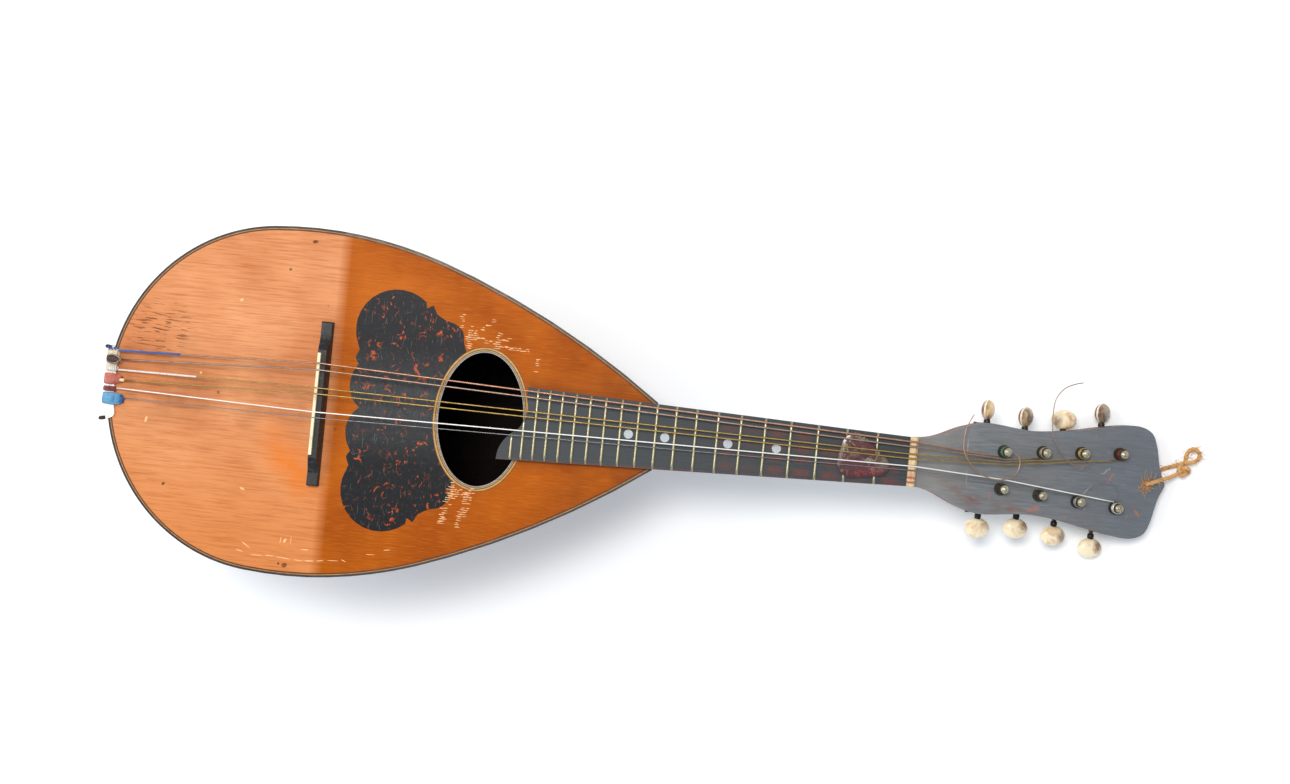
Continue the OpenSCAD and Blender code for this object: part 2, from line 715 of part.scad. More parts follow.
module worm(i, side) color([0.35, 0.33, 0.3]) at_post(i, side)
    translate([-worm_axis_x, 0, worm_z]) {
        thread();
        translate([0, -ear_x - ear_t - 0.8, 0]) rotate([-90, 0, 0])
            cylinder(r = worm_core, h = shaft_end(i, side) + ear_x + ear_t + 0.8);
    }

// From the line of the posts: the middle of a button and the end of its shaft.
function button_reach(i, side) = button_y[side > 0 ? 0 : 1][i] - post_at(i, 1).y;
function shaft_end(i, side) = button_reach(i, side) - button_half.x - 2.2;

module button(i, side) color([0.93, 0.85, 0.68]) at_post(i, side)
    translate([-worm_axis_x, button_reach(i, side), worm_z])
        rotate([0, side > 0 ? button_turn[i] : 0, 0]) {
            translate([0, 0, -button_half.z]) linear_extrude(height = 2 * button_half.z)
                polygon(ellipse([button_half.y, button_half.x], 24));
            translate([0, -button_half.x - 2.2, 0]) rotate([-90, 0, 0]) cylinder(r = 1.7, h = 3);
        }

module plate_shape() {
    outer = smooth([
        [44, 25.8], [52, 25.1], [62, 24.2], [74, 23.9], [92, 25.9], [108, 29.1], [124, 32], [136, 32]
    ], 2);
    polygon(concat([[36.5, 3.4], [36.5, 26.4], [44, 26]], outer, [[136, 8.2]]));
}

module ear(y) translate([-worm_axis_x, y, 0]) {
    translate([-2.4, -ear_t / 2, worm_z]) cube([4.8, ear_t, -worm_z - head_t - plate_t + 0.2]);
    translate([0, -ear_t / 2, worm_z]) rotate([-90, 0, 0]) cylinder(r = 2.4, h = ear_t);
}

// Five screws a plate, outside the line of the posts, the first and last nearer to it.
function plate_screw_y(x) =
    first_post.y + (x - first_post.x) * post_spread / post_step
    + (x == plate_screw_x[0] || x == plate_screw_x[4] ? 5 : 7);

module tuner_plate(side) color([0.3, 0.29, 0.27])
    head_axes() mirror([0, side < 0 ? 1 : 0, 0]) difference() {
        union() {
            translate([0, 0, -head_t - plate_t]) linear_extrude(height = plate_t) plate_shape();
            for (i = [0:3], y = [-ear_x, ear_x])
                translate([post_at(i, 1).x, post_at(i, 1).y, 0]) ear(y);
        }
        for (i = [0:3]) translate([post_at(i, 1).x, post_at(i, 1).y, 0]) {
            translate([0, 0, -head_t - plate_t - 1]) cylinder(r = post_r + running, h = 4);
            translate([-worm_axis_x, -ear_x - 2, worm_z])
                rotate([-90, 0, 0]) cylinder(r = worm_core + running, h = 2 * ear_x + 4);
        }
        for (x = plate_screw_x)
            translate([x, plate_screw_y(x), -head_t - plate_t - 1]) cylinder(r = 1.1, h = 4);
    }

module post_ferrules() color([0.5, 0.5, 0.4]) for (i = [0:3], side = [-1, 1])
    at_post(i, side) difference() {
        union() {
            translate([0, 0, -head_t]) cylinder(r = ferrule_r, h = head_t);
            cylinder(r = 3.9, h = 0.5);
        }
        translate([0, 0, -head_t - 1]) cylinder(r = post_r + running, h = head_t + 3);
    }

module plate_screw(x, side) head_axes() mirror([0, side < 0 ? 1 : 0, 0])
    translate([x, plate_screw_y(x), -head_t - plate_t]) {
        cylinder(r = 1.1, h = plate_t);
        translate([0, 0, -0.9]) intersection() {
            cylinder(r = 2, h = 0.9);
            translate([0, 0, 2.1]) sphere(r = 3);
        }
    }

module screws() color([0.6, 0.58, 0.5]) {
    for (x = plate_screw_x, side = [-1, 1]) plate_screw(x, side);
    for (turn = [-5, 5]) at_tail(turn, -40) translate([0, 0, plate_out - plate_in]) intersection() {
        cylinder(r = 2, h = 0.9);
        translate([0, 0, -2.1]) sphere(r = 3);
    }
}

// ---------- loose pieces ----------

module twine() color([0.8, 0.45, 0.15]) translate([hole_reach, 0, 0]) {
    tube(TWINE, twine_r);
    translate(knot_c) sphere(r = knot_r);
}

module plectrum() color([0.4, 0.12, 0.08]) translate([0, 0, fingerboard_t + fret_h + 0.03])
    linear_extrude(height = plectrum_t) hull() for (corner = PLECTRUM)
        translate([corner.x, corner.y]) circle(r = corner.z, $fn = 32);

// ---------- drawing ----------

rested() soundboard();
rested() edge_binding();
rested() purfling();
rested() rosette();
rested() pickguard();
rested() bowl_ribs();
rested() end_clasp();
rested() end_blocks();
rested() linings();
rested() braces();
rested() neck();
rested() headstock();
rested() fingerboard();
rested() frets();
rested() position_dots();
rested() nut();
rested() bridge();
rested() saddle();
rested() tailpiece();
rested() hook_wraps();
rested() strings();
twine();
rested() plectrum();
rested() screws();
rested() post_ferrules();
rested() tuner_plate(1);  // tuner_plate_bass
rested() tuner_plate(-1);  // tuner_plate_treble
for (row = [0, 1], i = [0:3]) {
    side = 1 - 2 * row;
    tag = str("_", SIDES[row], "_", i + 1);
    rested() post(i, side);
    rested() gear(i, side);
    rested() worm(i, side);
    rested() button(i, side);
}
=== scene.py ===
"""Old bowl-back mandolin on its back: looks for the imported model, in metres."""

import functools
import json
import math
import random

import bpy
from mathutils import Matrix, Vector, noise


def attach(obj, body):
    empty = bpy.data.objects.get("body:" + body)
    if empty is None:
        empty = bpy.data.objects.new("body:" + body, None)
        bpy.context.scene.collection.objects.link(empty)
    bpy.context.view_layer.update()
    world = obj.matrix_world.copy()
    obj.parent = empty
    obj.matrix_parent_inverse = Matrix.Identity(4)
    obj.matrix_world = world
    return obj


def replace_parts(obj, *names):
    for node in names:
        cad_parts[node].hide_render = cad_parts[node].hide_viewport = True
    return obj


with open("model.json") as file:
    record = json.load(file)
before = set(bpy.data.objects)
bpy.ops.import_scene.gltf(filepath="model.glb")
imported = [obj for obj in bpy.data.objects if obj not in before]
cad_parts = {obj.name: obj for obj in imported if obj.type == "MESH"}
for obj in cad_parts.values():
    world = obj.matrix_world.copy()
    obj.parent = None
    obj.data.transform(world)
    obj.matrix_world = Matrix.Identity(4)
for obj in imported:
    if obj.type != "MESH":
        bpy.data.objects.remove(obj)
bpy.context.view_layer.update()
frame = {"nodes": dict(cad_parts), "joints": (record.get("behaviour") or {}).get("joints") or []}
nodes = frame["nodes"]
joints = {joint["name"]: joint for joint in frame["joints"]}
MM = 0.001
SIDES = {"bass": 1, "treble": -1}
TUNERS = [(side, i) for side in SIDES for i in range(4)]

# ---------- the instrument's own axes, in millimetres ----------
# x runs from the tail to the head with 0 at the nut, y to the bass side, z out of the soundboard.
HEAD_PITCH = math.radians(10)
HEAD_X = 5
head_normal = Vector(joints["post_turn_bass_1"]["axis"])
PITCH = math.atan2(head_normal.x, head_normal.z) - HEAD_PITCH
TURN = Matrix.Rotation(PITCH, 3, "Y")
nut_points = [TURN.inverted() @ v.co for v in nodes["nut"].data.vertices]
HEAD_START = Matrix.Rotation(-HEAD_PITCH, 3, "Y") @ Vector((HEAD_X, 0, 0))
ORIGIN = TURN @ Vector((min(p.x for p in nut_points), 0, min(p.z for p in nut_points)))


def lay(x, y, z=0.0):
    """A point of the instrument's axes, in the row frame."""
    return ORIGIN + TURN @ Vector((x, y, z)) * MM


def own(point):
    """A point of the row frame, in the instrument's axes."""
    return TURN.inverted() @ (Vector(point) - ORIGIN) / MM


def head_point(x, y, z=0.0):
    """A point of the head's axes, where z is 0 on its face, in the instrument's axes."""
    p = Matrix.Rotation(HEAD_PITCH, 3, "Y") @ Vector((x, y, z))
    return p + Vector((HEAD_X, 0, 0))


def on_head(x, y, z=0.0):
    """The same in the row frame."""
    return lay(*head_point(x, y, z))


# Sizes that part.scad drives: the string length, and where and how steeply the soundboard bends down
SCALE = 330
CANT_X = -332
CANT = math.tan(math.radians(8))
BOWL_RATIO = 1.38
RIBS = 13
HOLE_X = -245
HOLE_HALF = (24.3, 38.3)
ROSETTE_HALF = (27.5, 41.5)
BINDING_W = 1.0
PURFLING_W = 1.5
BOARD_HALF, BOARD_TAPER = 14.1, 0.031
FRET_COUNT = 20
SHORT_FRETS = {19: 2.6, 20: -7.2}
DECK_TOP = 0.02
INLAY_DEPTH = 0.75
HOLE_REACH = on_head(140.5, 0).x / MM
TAIL_C = Vector((-364.5, 0))
TAIL_R, SHOULDER_R, WAIST_R = 99.5, 243, 495
TAIL_END, SHOULDER_END = 85, 109.7
FLANGE_R = 95.2
JOINT_X = -144.8


def normal(phi):
    """A direction of the plan, at phi degrees from the tail's end."""
    return Vector((-math.cos(math.radians(phi)), math.sin(math.radians(phi))))


def angles(count):
    """So many angles, evenly round a circle."""
    return [2 * math.pi * i / count for i in range(count)]


SHOULDER_C = TAIL_C + (TAIL_R - SHOULDER_R) * normal(TAIL_END)
WAIST_C = SHOULDER_C + (SHOULDER_R - WAIST_R) * normal(SHOULDER_END)


def rim(phi, inset):
    """A point of the body's outline, from the tail at the angle phi of its normal."""
    if phi <= TAIL_END:
        return TAIL_C + (TAIL_R - inset) * normal(phi)
    if phi <= SHOULDER_END:
        return SHOULDER_C + (SHOULDER_R - inset) * normal(phi)
    return WAIST_C + (WAIST_R - inset) * normal(phi)


def outline(inset, steps=150):
    end = 90 + math.degrees(math.asin((JOINT_X - WAIST_C.x) / (WAIST_R - inset)))
    half = [rim(end * i / steps, inset) for i in range(steps + 1)]
    return half + [Vector((p.x, -p.y)) for p in reversed(half[1:])]


def deck_z(x):
    return min(x - CANT_X, 0) * CANT


def ellipse(half, steps=96):
    return [Vector((HOLE_X + half[0] * math.cos(a), half[1] * math.sin(a))) for a in angles(steps)]


def board_half(x):
    return BOARD_HALF - BOARD_TAPER * x


def fret_x(n):
    return -SCALE * (1 - 2 ** (-n / 12))


# ---------- camera, light and floor ----------


def make_camera():
    distance, wide, sensor = 1130, 737, 36
    middle = Vector((-153, 24.8, 0))
    slope = math.radians(5.6)
    right = TURN @ Vector((math.cos(slope), math.sin(slope), 0))
    up = TURN @ Vector((-math.sin(slope), math.cos(slope), 0))
    back = TURN @ Vector((0, 0, 1))
    data = bpy.data.cameras.new("camera")
    data.sensor_width = sensor
    data.lens = sensor * distance / wide
    camera = bpy.data.objects.new("camera", data)
    turn = Matrix((right, up, back)).transposed().to_4x4()
    camera.matrix_world = Matrix.Translation(lay(middle.x, middle.y, distance)) @ turn
    bpy.context.scene.collection.objects.link(camera)
    bpy.context.scene.camera = camera


def area_light(name, place, target, size, power, colour=(1, 1, 1)):
    data = bpy.data.lights.new(name, "AREA")
    data.shape = "RECTANGLE"
    data.size, data.size_y = size
    data.energy = power
    data.color = colour
    light = bpy.data.objects.new(name, data)
    light.location = place
    light.rotation_euler = (Vector(target) - Vector(place)).to_track_quat("-Z", "Y").to_euler()
    bpy.context.scene.collection.objects.link(light)


def make_light():
    area_light("key", (0.1, 0.5, 2.35), (-0.05, 0, 0), (0.75, 0.6), 30, (1, 0.96, 0.91))
    area_light("fill", (-1.5, -0.5, 1.3), (-0.1, 0, 0.05), (1.4, 1.4), 7, (0.95, 0.97, 1))
    area_light("tail", (-1.3, 0.5, 1.7), (-0.2, 0, 0.1), (0.9, 0.9), 8)
    world = bpy.data.worlds.new("studio")
    world.use_nodes = True
    background = world.node_tree.nodes["Background"]
    background.inputs["Color"].default_value = (0.84, 0.92, 1, 1)
    background.inputs["Strength"].default_value = 0.55
    bpy.context.scene.world = world
    bpy.context.scene.view_settings.view_transform = "Standard"


# ---------- materials ----------


def rgb(r, g, b):
    """A colour given as 0 to 255, in linear values."""
    def linear(c):
        c /= 255
        return c / 12.92 if c <= 0.04045 else ((c + 0.055) / 1.055) ** 2.4
    return (linear(r), linear(g), linear(b), 1)


class Look:
    """A material whose nodes work in the instrument's millimetres, or the head's."""

    def __init__(self, name, pitch=PITCH, shift=(0, 0, 0)):
        self.material = bpy.data.materials.new(name)
        self.material.use_nodes = True
        self.tree = self.material.node_tree
        self.shader = self.tree.nodes["Principled BSDF"]
        coordinates = self.add("ShaderNodeTexCoord").outputs["Object"]
        back = Matrix.Rotation(-pitch, 3, "Y")
        start = -(back @ ORIGIN) / MM - Vector(shift)
        self.place = self.moved(coordinates, (1 / MM,) * 3, (0, -pitch, 0), start)
        parts = self.add("ShaderNodeSeparateXYZ", Vector=self.place).outputs
        self.x, self.y, self.z = parts[0], parts[1], parts[2]

    def add(self, kind, settings=None, **inputs):
        node = self.tree.nodes.new(kind)
        for key, value in (settings or {}).items():
            setattr(node, key, value)
        for key, value in inputs.items():
            self.feed(node.inputs[key.replace("_", " ")], value)
        return node

    def feed(self, socket, value):
        if isinstance(value, bpy.types.NodeSocket):
            self.tree.links.new(value, socket)
        else:
            socket.default_value = value

    def moved(self, vector, scale=(1, 1, 1), turn=(0, 0, 0), shift=(0, 0, 0)):
        node = self.add("ShaderNodeMapping", Vector=vector, Scale=scale, Rotation=turn, Location=shift)
        return node.outputs[0]

    def noise(self, scale, detail=4.0, rough=0.55, bend=0.0, where=None):
        node = self.add("ShaderNodeTexNoise", Vector=where or self.place, Scale=scale, Detail=detail,
                        Roughness=rough, Distortion=bend)
        return node.outputs["Fac"]

    def cells(self, scale):
        """Distance to the nearest of scattered points."""
        return self.add("ShaderNodeTexVoronoi", Vector=self.place, Scale=scale).outputs["Distance"]

    def span(self, value, low, high, to_low=0.0, to_high=1.0):
        """A value from low to high turned into to_low to to_high, and held at the ends."""
        node = self.add("ShaderNodeMapRange", Value=value)
        for key, number in (("From Min", low), ("From Max", high), ("To Min", to_low), ("To Max", to_high)):
            node.inputs[key].default_value = number
        return node.outputs[0]

    def calc(self, kind, a, b=0.0):
        node = self.add("ShaderNodeMath", {"operation": kind})
        self.feed(node.inputs[0], a)
        self.feed(node.inputs[1], b)
        return node.outputs[0]

    def away(self, value, middle):
        """How far a value is from a number."""
        return self.calc("ABSOLUTE", self.calc("SUBTRACT", value, middle))

    def most(self, *values):
        """The highest of some values."""
        return functools.reduce(lambda a, b: self.calc("MAXIMUM", a, b), values)

    def times(self, *values):
        """The product of some values."""
        return functools.reduce(lambda a, b: self.calc("MULTIPLY", a, b), values)

    def mix(self, share, a, b):
        """A share of the way between two colours, each a socket or given as 0 to 255."""
        node = self.add("ShaderNodeMix", {"data_type": "RGBA"})
        self.feed(node.inputs[0], share)
        for socket, colour in ((node.inputs[6], a), (node.inputs[7], b)):
            self.feed(socket, rgb(*colour) if isinstance(colour, tuple) else colour)
        return node.outputs[2]

    def blend(self, value, low, high, a, b, most=1.0):
        """From a, where value is at low, to b or a share of it, where value is at high."""
        return self.mix(self.span(value, low, high, 0, most), a, b)

    def near(self, x, y, reach_x, reach_y):
        """1 at a point of the plan, falling to 0 at the given reaches."""
        u = self.calc("DIVIDE", self.calc("SUBTRACT", self.x, x), reach_x)
        v = self.calc("DIVIDE", self.calc("SUBTRACT", self.y, y), reach_y)
        return self.span(self.calc("ADD", self.times(u, u), self.times(v, v)), 1, 0)

    def patch(self, x, y, angle, long, wide):
        """1 at a point of the plan, falling to 0 at half sizes laid along an angle."""
        turn = math.radians(-angle)
        shift = -(Matrix.Rotation(turn, 3, "Z") @ Vector((x, y, 0)))
        turned = self.moved(self.place, (1, 1, 0), (0, 0, turn), shift)
        away = self.add("ShaderNodeVectorMath", {"operation": "LENGTH"})
        self.feed(away.inputs[0], self.moved(turned, (1 / long, 1 / wide, 1)))
        return self.span(away.outputs["Value"], 1, 0)

    def patches(self, *rows):
        """The highest of many patches, each given with its own strength."""
        return self.most(*(self.times(self.patch(*place), share) for *place, share in rows))

    def streaks(self, angle, spacing, length, thin, seed=0.0):
        """Short scratches along an angle of the plan, as 1 on the scratch."""
        turned = self.moved(self.place, (1, 1, 0.01), (0, 0, math.radians(-angle)), (seed, seed * 1.7, seed))
        long = self.moved(turned, (1 / length, 1 / spacing, 1))
        return self.span(self.noise(1, 2, 0.5, 0.0, long), 1 - thin, 1 - thin + 0.03)

    def finish(self, colour, rough, height=None, strength=0.3, distance=0.2, metallic=0.0, **fixed):
        self.feed(self.shader.inputs["Base Color"], colour)
        self.feed(self.shader.inputs["Roughness"], rough)
        self.shader.inputs["Metallic"].default_value = metallic
        for key, value in fixed.items():
            self.shader.inputs[key.replace("_", " ")].default_value = value
        if height is not None:
            bump = self.add("ShaderNodeBump", Height=height, Strength=strength, Distance=distance * MM)
            self.feed(self.shader.inputs["Normal"], bump.outputs[0])
        return self.material


def soundboard_look():
    k = Look("soundboard_spruce")
    grain = k.noise(1.1, 3, 0.6, 0.2, k.moved(k.place, (0.012, 1, 0.3)))
    fine = k.noise(3.4, 2, 0.5, 0.1, k.moved(k.place, (0.03, 1, 0.3)))
    cloud = k.noise(0.018, 3, 0.55)
    # the wood is deeper in colour in front of the bend under the bridge
    front = k.blend(cloud, 0.35, 0.65, (194, 98, 6), (160, 72, 2))
    front = k.blend(k.y, -20, -85, front, (156, 70, 0), 0.45)
    back = k.blend(cloud, 0.35, 0.65, (230, 160, 112), (210, 134, 88))
    back = k.blend(k.y, 0, -80, back, (210, 126, 66), 0.75)
    colour = k.blend(k.x, CANT_X - 2, CANT_X + 5, back, front)
    colour = k.blend(grain, 0.45, 0.75, colour, (146, 68, 12), 0.5)
    colour = k.blend(fine, 0.5, 0.8, colour, (230, 146, 66), 0.4)
    # glowing, cleaner wood beside the bridge's treble end
    clean = k.most(k.patch(-350, -36, -50, 34, 16), k.patch(-345.5, -39, -64, 15, 4.5))
    clean = k.times(clean, k.span(k.noise(0.08), 0.35, 0.6, 0.35, 0.9))
    colour = k.mix(clean, colour, (226, 118, 30))
    # grime: under the strings behind the bridge, beside the neck and along the edge
    middle = k.span(k.away(k.y, 2), 34, 6)
    under = k.times(k.span(k.x, -455, -340, 0.9, 0.35), middle, k.span(k.x, -338, -346),
                  k.span(k.noise(0.05, 4), 0.35, 0.7, 0.1, 1))
    beside = k.times(k.span(k.x, -215, -150), k.span(k.noise(0.06, 3), 0.3, 0.6, 0.3, 1))
    neck_edge = k.span(k.calc("SUBTRACT", k.calc("ABSOLUTE", k.y), 21), 9, 0, 0, 0.6)
    neck_edge = k.times(neck_edge, k.span(k.x, -226, -218))
    colour = k.mix(k.times(k.most(under, beside, neck_edge), 0.55), colour, (104, 50, 24))
    # short dark cracks near the tail on the bass side, and stains
    cracks = k.times(k.near(-436, 34, 24, 20), k.streaks(-4, 1.1, 8, 0.42, 3.0))
    specks = k.span(k.cells(0.055), 0.07, 0.04)
    elsewhere = k.moved(k.place, shift=(90, 40, 0))
    specks = k.times(specks, k.span(k.noise(0.02, 2, where=elsewhere), 0.52, 0.6))
    stain = k.patches((-349, -94, 20, 2.4, 1.9, 1), (-352.5, -93.5, 0, 1.0, 1.2, 1),
                      (-349, 92, 10, 2.4, 1.4, 1), (-362, 75, 0, 1.3, 1.2, 1), (-425, -55, 40, 1.6, 1.2, 1))
    stain = k.times(k.span(stain, 0.15, 0.5), k.span(k.noise(1.4, 3), 0.3, 0.55, 0.4, 1))
    dark = k.most(k.times(cracks, 0.75), k.times(specks, 0.6), k.times(stain, 0.85))
    colour = k.mix(dark, colour, (66, 32, 20))
    chips = k.patches((-389, 55, 20, 1.5, 0.9, 1), (-439, -19, 75, 2.4, 0.9, 1), (-409, 11, 0, 0.9, 0.9, 1),
                      (-378, -53, -20, 2.0, 0.7, 1), (-350, -80, 60, 1.8, 0.9, 1),
                      (-302, -66, 0, 1.2, 1.2, 0.8))
    marks = k.span(chips, 0.1, 0.4)
    colour = k.mix(k.times(marks, 0.8), colour, (250, 200, 148))
    height = k.calc("SUBTRACT", k.times(grain, 0.6), k.times(k.most(marks, dark), 0.6))
    rough = k.span(cloud, 0.3, 0.7, 0.34, 0.48)
    return k.finish(colour, rough, height, 0.25, 0.12, Specular_IOR_Level=0.06)


def plain_wood(name, light, dark, rough=0.45, grain_scale=0.9, wear=None):
    k = Look(name)
    grain = k.noise(grain_scale, 4, 0.6, 0.3, k.moved(k.place, (0.05, 1, 1)))
    colour = k.blend(grain, 0.35, 0.7, light, dark)
    blot = k.noise(0.12, 4, 0.6)
    if wear:
        colour = k.blend(blot, 0.56, 0.72, colour, wear, 0.7)
    return k.finish(colour, k.span(blot, 0.3, 0.7, rough - 0.08, rough + 0.12), grain, 0.25, 0.1)


def shell_look(name, ground, flecks, spots):
    k = Look(name)
    wobble = k.noise(0.35, 3, 0.6)
    # flecks gather in clouds, each with a ragged edge
    spread = k.span(k.noise(0.05, 3, 0.6, 0.5), 0.43, 0.54)
    blot = k.noise(0.24, 4, 0.66, 1.3, k.moved(k.place, (1, 0.8, 1)))
    fleck = k.times(k.span(blot, spots, spots + 0.03), k.span(spread, 0, 1, 0.1, 1))
    colour = k.blend(wobble, 0.3, 0.7, ground[0], ground[1])
    colour = k.mix(fleck, colour, k.blend(k.noise(0.9, 3), 0.35, 0.62, flecks[0], flecks[1]))
    return k, colour


def pickguard_look():
    k, colour = shell_look("tortoise_plate", ((11, 14, 18), (23, 26, 31)), ((220, 96, 26), (138, 50, 18)),
                           0.585)
    # grey scratched haze under the strings
    middle = k.span(k.away(k.y, 4), 34, 6)
    haze = k.times(middle, k.span(k.noise(0.3, 5, 0.7), 0.3, 0.7, 0.3, 0.9))
    colour = k.mix(k.times(haze, 0.55), colour, (92, 94, 96))
    lines = k.most(k.streaks(88, 0.7, 10, 0.33, 4.0), k.streaks(20, 0.7, 12, 0.3, 8.0),
                   k.streaks(-70, 0.6, 8, 0.3, 1.0))
    colour = k.mix(k.times(lines, 0.4), colour, (130, 132, 134))
    rough = k.span(lines, 0, 1, 0.4, 0.55)
    return k.finish(colour, rough, k.noise(0.5, 3), 0.12, 0.1, Specular_IOR_Level=0.15)


def fingerboard_look():
    k = Look("worn_fingerboard")
    grain = k.noise(0.8, 4, 0.65, 0.3, k.moved(k.place, (0.07, 1, 1)))
    colour = k.blend(grain, 0.3, 0.7, (33, 40, 45), (57, 63, 67))
    # rubbed between the frets under each course, but not under the low courses near the nut
    unworn = ((2, 8.6), (2, 1.2), (3, 8.6), (1, 1.2), (1, 8.6))
    rubs = [k.times(k.near((fret_x(n) + fret_x(n - 1)) / 2, y, 6.5, 3.0), share)
            for n, share in ((1, 0.9), (2, 0.3), (3, 0.9), (4, 1.0), (5, 0.9), (6, 0.35), (7, 0.6))
            for y in (8.6, 1.2, -5.2, -12.2) if (n, y) not in unworn]
    across = k.calc("ADD", k.y, k.times(k.x, -BOARD_TAPER))
    edge = k.times(k.span(across, -12.4, -13.8), k.span(k.noise(0.25, 3), 0.35, 0.6))
    worn = k.times(k.most(*rubs, k.times(edge, 0.9)), k.span(k.noise(0.5, 4, 0.7), 0.3, 0.6, 0.3, 1))
    colour = k.mix(worn, colour, (104, 48, 38))
    dirt = k.span(k.noise(0.9, 3), 0.5, 0.7, 0, 0.5)
    colour = k.mix(dirt, colour, (40, 42, 44))
    return k.finish(colour, k.span(grain, 0.3, 0.7, 0.4, 0.56), grain, 0.3, 0.12, Specular_IOR_Level=0.4)


def head_look():
    # head axes: x from the nut end, z 0 on the face
    k = Look("stained_head", PITCH + HEAD_PITCH, HEAD_START)
    grain = k.noise(0.9, 5, 0.65, 0.3, k.moved(k.place, (0.08, 1, 1)))
    colour = k.blend(grain, 0.3, 0.7, (98, 103, 108), (132, 134, 136))
    colour = k.blend(k.noise(0.05, 3), 0.4, 0.65, colour, (112, 108, 104), 0.5)
    # paler by the nut, darker towards the end
    colour = k.blend(k.x, 36, 12, colour, (158, 154, 148), 0.4)
    colour = k.blend(k.x, 60, 130, colour, (88, 95, 106), 0.5)
    # the stain is rubbed thin near the nut on the treble side
    thin = k.patches((33, -17, -22, 22, 6, 0.9), (56, -21.5, -4, 26, 4, 0.7), (20, -10, -25, 12, 4, 0.5))
    thin = k.times(thin, k.span(k.noise(0.3, 4, 0.7, 0, k.moved(k.place, (0.35, 1, 1))), 0.4, 0.6))
    colour = k.mix(thin, colour, (124, 78, 62))
    chips = k.patches((73.7, -20.3, 18, 4, 1.6, 1), (70.5, -21.3, 0, 2.6, 1.2, 0.8),
                      (136.4, -17.7, -48, 3.6, 1.1, 1), (118.2, 1.2, 64, 5.2, 0.75, 0.9),
                      (100.4, 5.7, 40, 2.4, 0.55, 0.9), (46, -15, 84, 3.4, 0.7, 0.7),
                      (92, -23.4, -12, 3, 0.6, 0.7), (60, -12, 0, 1.4, 0.7, 0.6))
    chips = k.span(k.times(chips, k.span(k.noise(0.9, 4, 0.75), 0.34, 0.6, 0.35, 1)), 0.12, 0.3)
    colour = k.mix(k.times(chips, 0.8), colour, (172, 108, 84))
    pale = k.patches((115, 5, 55, 2.4, 0.6, 1), (113, 3.4, 20, 1.6, 0.5, 0.9), (117, 6.4, 70, 1.4, 0.5, 0.9),
                     (30, 10, 92, 9, 0.7, 0.6), (31, -6, 92, 7, 0.6, 0.5), (104, -18, 60, 1.6, 0.5, 0.6))
    pale = k.most(k.times(k.span(pale, 0.1, 0.4), k.span(k.noise(0.9, 3), 0.36, 0.5)),
                  k.times(k.streaks(5, 1.2, 9, 0.3, 6.0), 0.5),
                  k.times(k.streaks(70, 0.8, 6, 0.28, 2.0), 0.4))
    colour = k.mix(k.times(pale, 0.5), colour, (184, 182, 174))
    # bare wood shows where the stain is worn off the edges
    side = k.span(k.z, -0.3, -1.2)
    colour = k.mix(side, colour, k.blend(grain, 0.3, 0.7, (84, 56, 50), (128, 76, 60)))
    return k.finish(colour, k.span(grain, 0.3, 0.7, 0.42, 0.58), grain, 0.3, 0.15)


def bone_look(name, cream, stain, amount=0.5, seed=0.0):
    k = Look(name)
    where = k.moved(k.place, shift=(seed, seed * 2, 0))
    blot = k.noise(0.16, 4, 0.6, 0.6, where)
    fine = k.noise(1.6, 4, 0.6, 0.2, where)
    colour = k.blend(fine, 0.35, 0.7, cream, (254, 244, 222), 0.35)
    colour = k.blend(blot, 0.5, 0.66, colour, stain, amount)
    return k, colour, fine


def metal_look(name, light, dark, rough=0.4, scale=0.9, dirt=0.6, metallic=1.0):
    k = Look(name)
    blot = k.noise(scale, 5, 0.65, 0.3)
    colour = k.blend(blot, 0.38, 0.66, light, dark, dirt)
    return k.finish(colour, k.span(blot, 0.35, 0.7, rough - 0.12, rough + 0.2), blot, 0.2, 0.05, metallic)


def floor_look():
    k = Look("pale_glowing_floor")
    shade = k.noise(0.004, 2)
    colour = k.mix(shade, (248, 249, 251), (251, 252, 253))
    # the faint emission makes the floor glow, painted light that lifts the shadows on it
    return k.finish(colour, 0.6, Emission_Color=(0.9, 0.95, 1, 1), Emission_Strength=0.12)


# ---------- mesh tools ----------


def piece(name, points, faces, material, body="instrument", slot=None, smooth=True, replaces=()):
    """A new mesh piece in the row frame that rides on a body."""
    mesh = bpy.data.meshes.new(name)
    mesh.from_pydata([tuple(p) for p in points], [], faces)
    mesh.validate()
    mesh.materials.append(material)
    for face in mesh.polygons:
        face.use_smooth = smooth
    thing = bpy.data.objects.new(name, mesh)
    bpy.context.scene.collection.objects.link(thing)
    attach(thing, body)
    if replaces:
        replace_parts(thing, *replaces)
    return thing


def curve_through(points, steps):
    """A smooth line through points, with so many steps from each to the next."""
    points = [Vector(p) for p in points]
    line = []
    for i in range(len(points) - 1):
        a, b = points[max(i - 1, 0)], points[i]
        c, d = points[i + 1], points[min(i + 2, len(points) - 1)]
        for s in range(steps):
            t = s / steps
            line.append(0.5 * (2 * b + (c - a) * t + (2 * a - 5 * b + 4 * c - d) * t * t
                               + (3 * b - a - 3 * c + d) * t ** 3))
    return line + [points[-1]]


def frames_along(line, start):
    """Each point of a line with two directions square to the line and the distance from its start."""
    frames, across, run = [], None, 0.0
    for i, p in enumerate(line):
        along = (line[min(i + 1, len(line) - 1)] - line[max(i - 1, 0)]).normalized()
        across = start(along).normalized() if across is None else across
        across = (across - across.dot(along) * along).normalized()
        run += (p - line[i - 1]).length if i else 0
        frames.append((p, across, along.cross(across), run))
    return frames


def rings_along(line, profile):
    """Rings of points along a line. profile(distance, angle) is the radius in the line's units."""
    return [
        [p + profile(run, a) * (math.cos(a) * across + math.sin(a) * up) for a in angles(profile.sides)]
        for p, across, up, run in frames_along(line, lambda along: along.cross(Vector((0.13, 0.21, 1))))
    ]


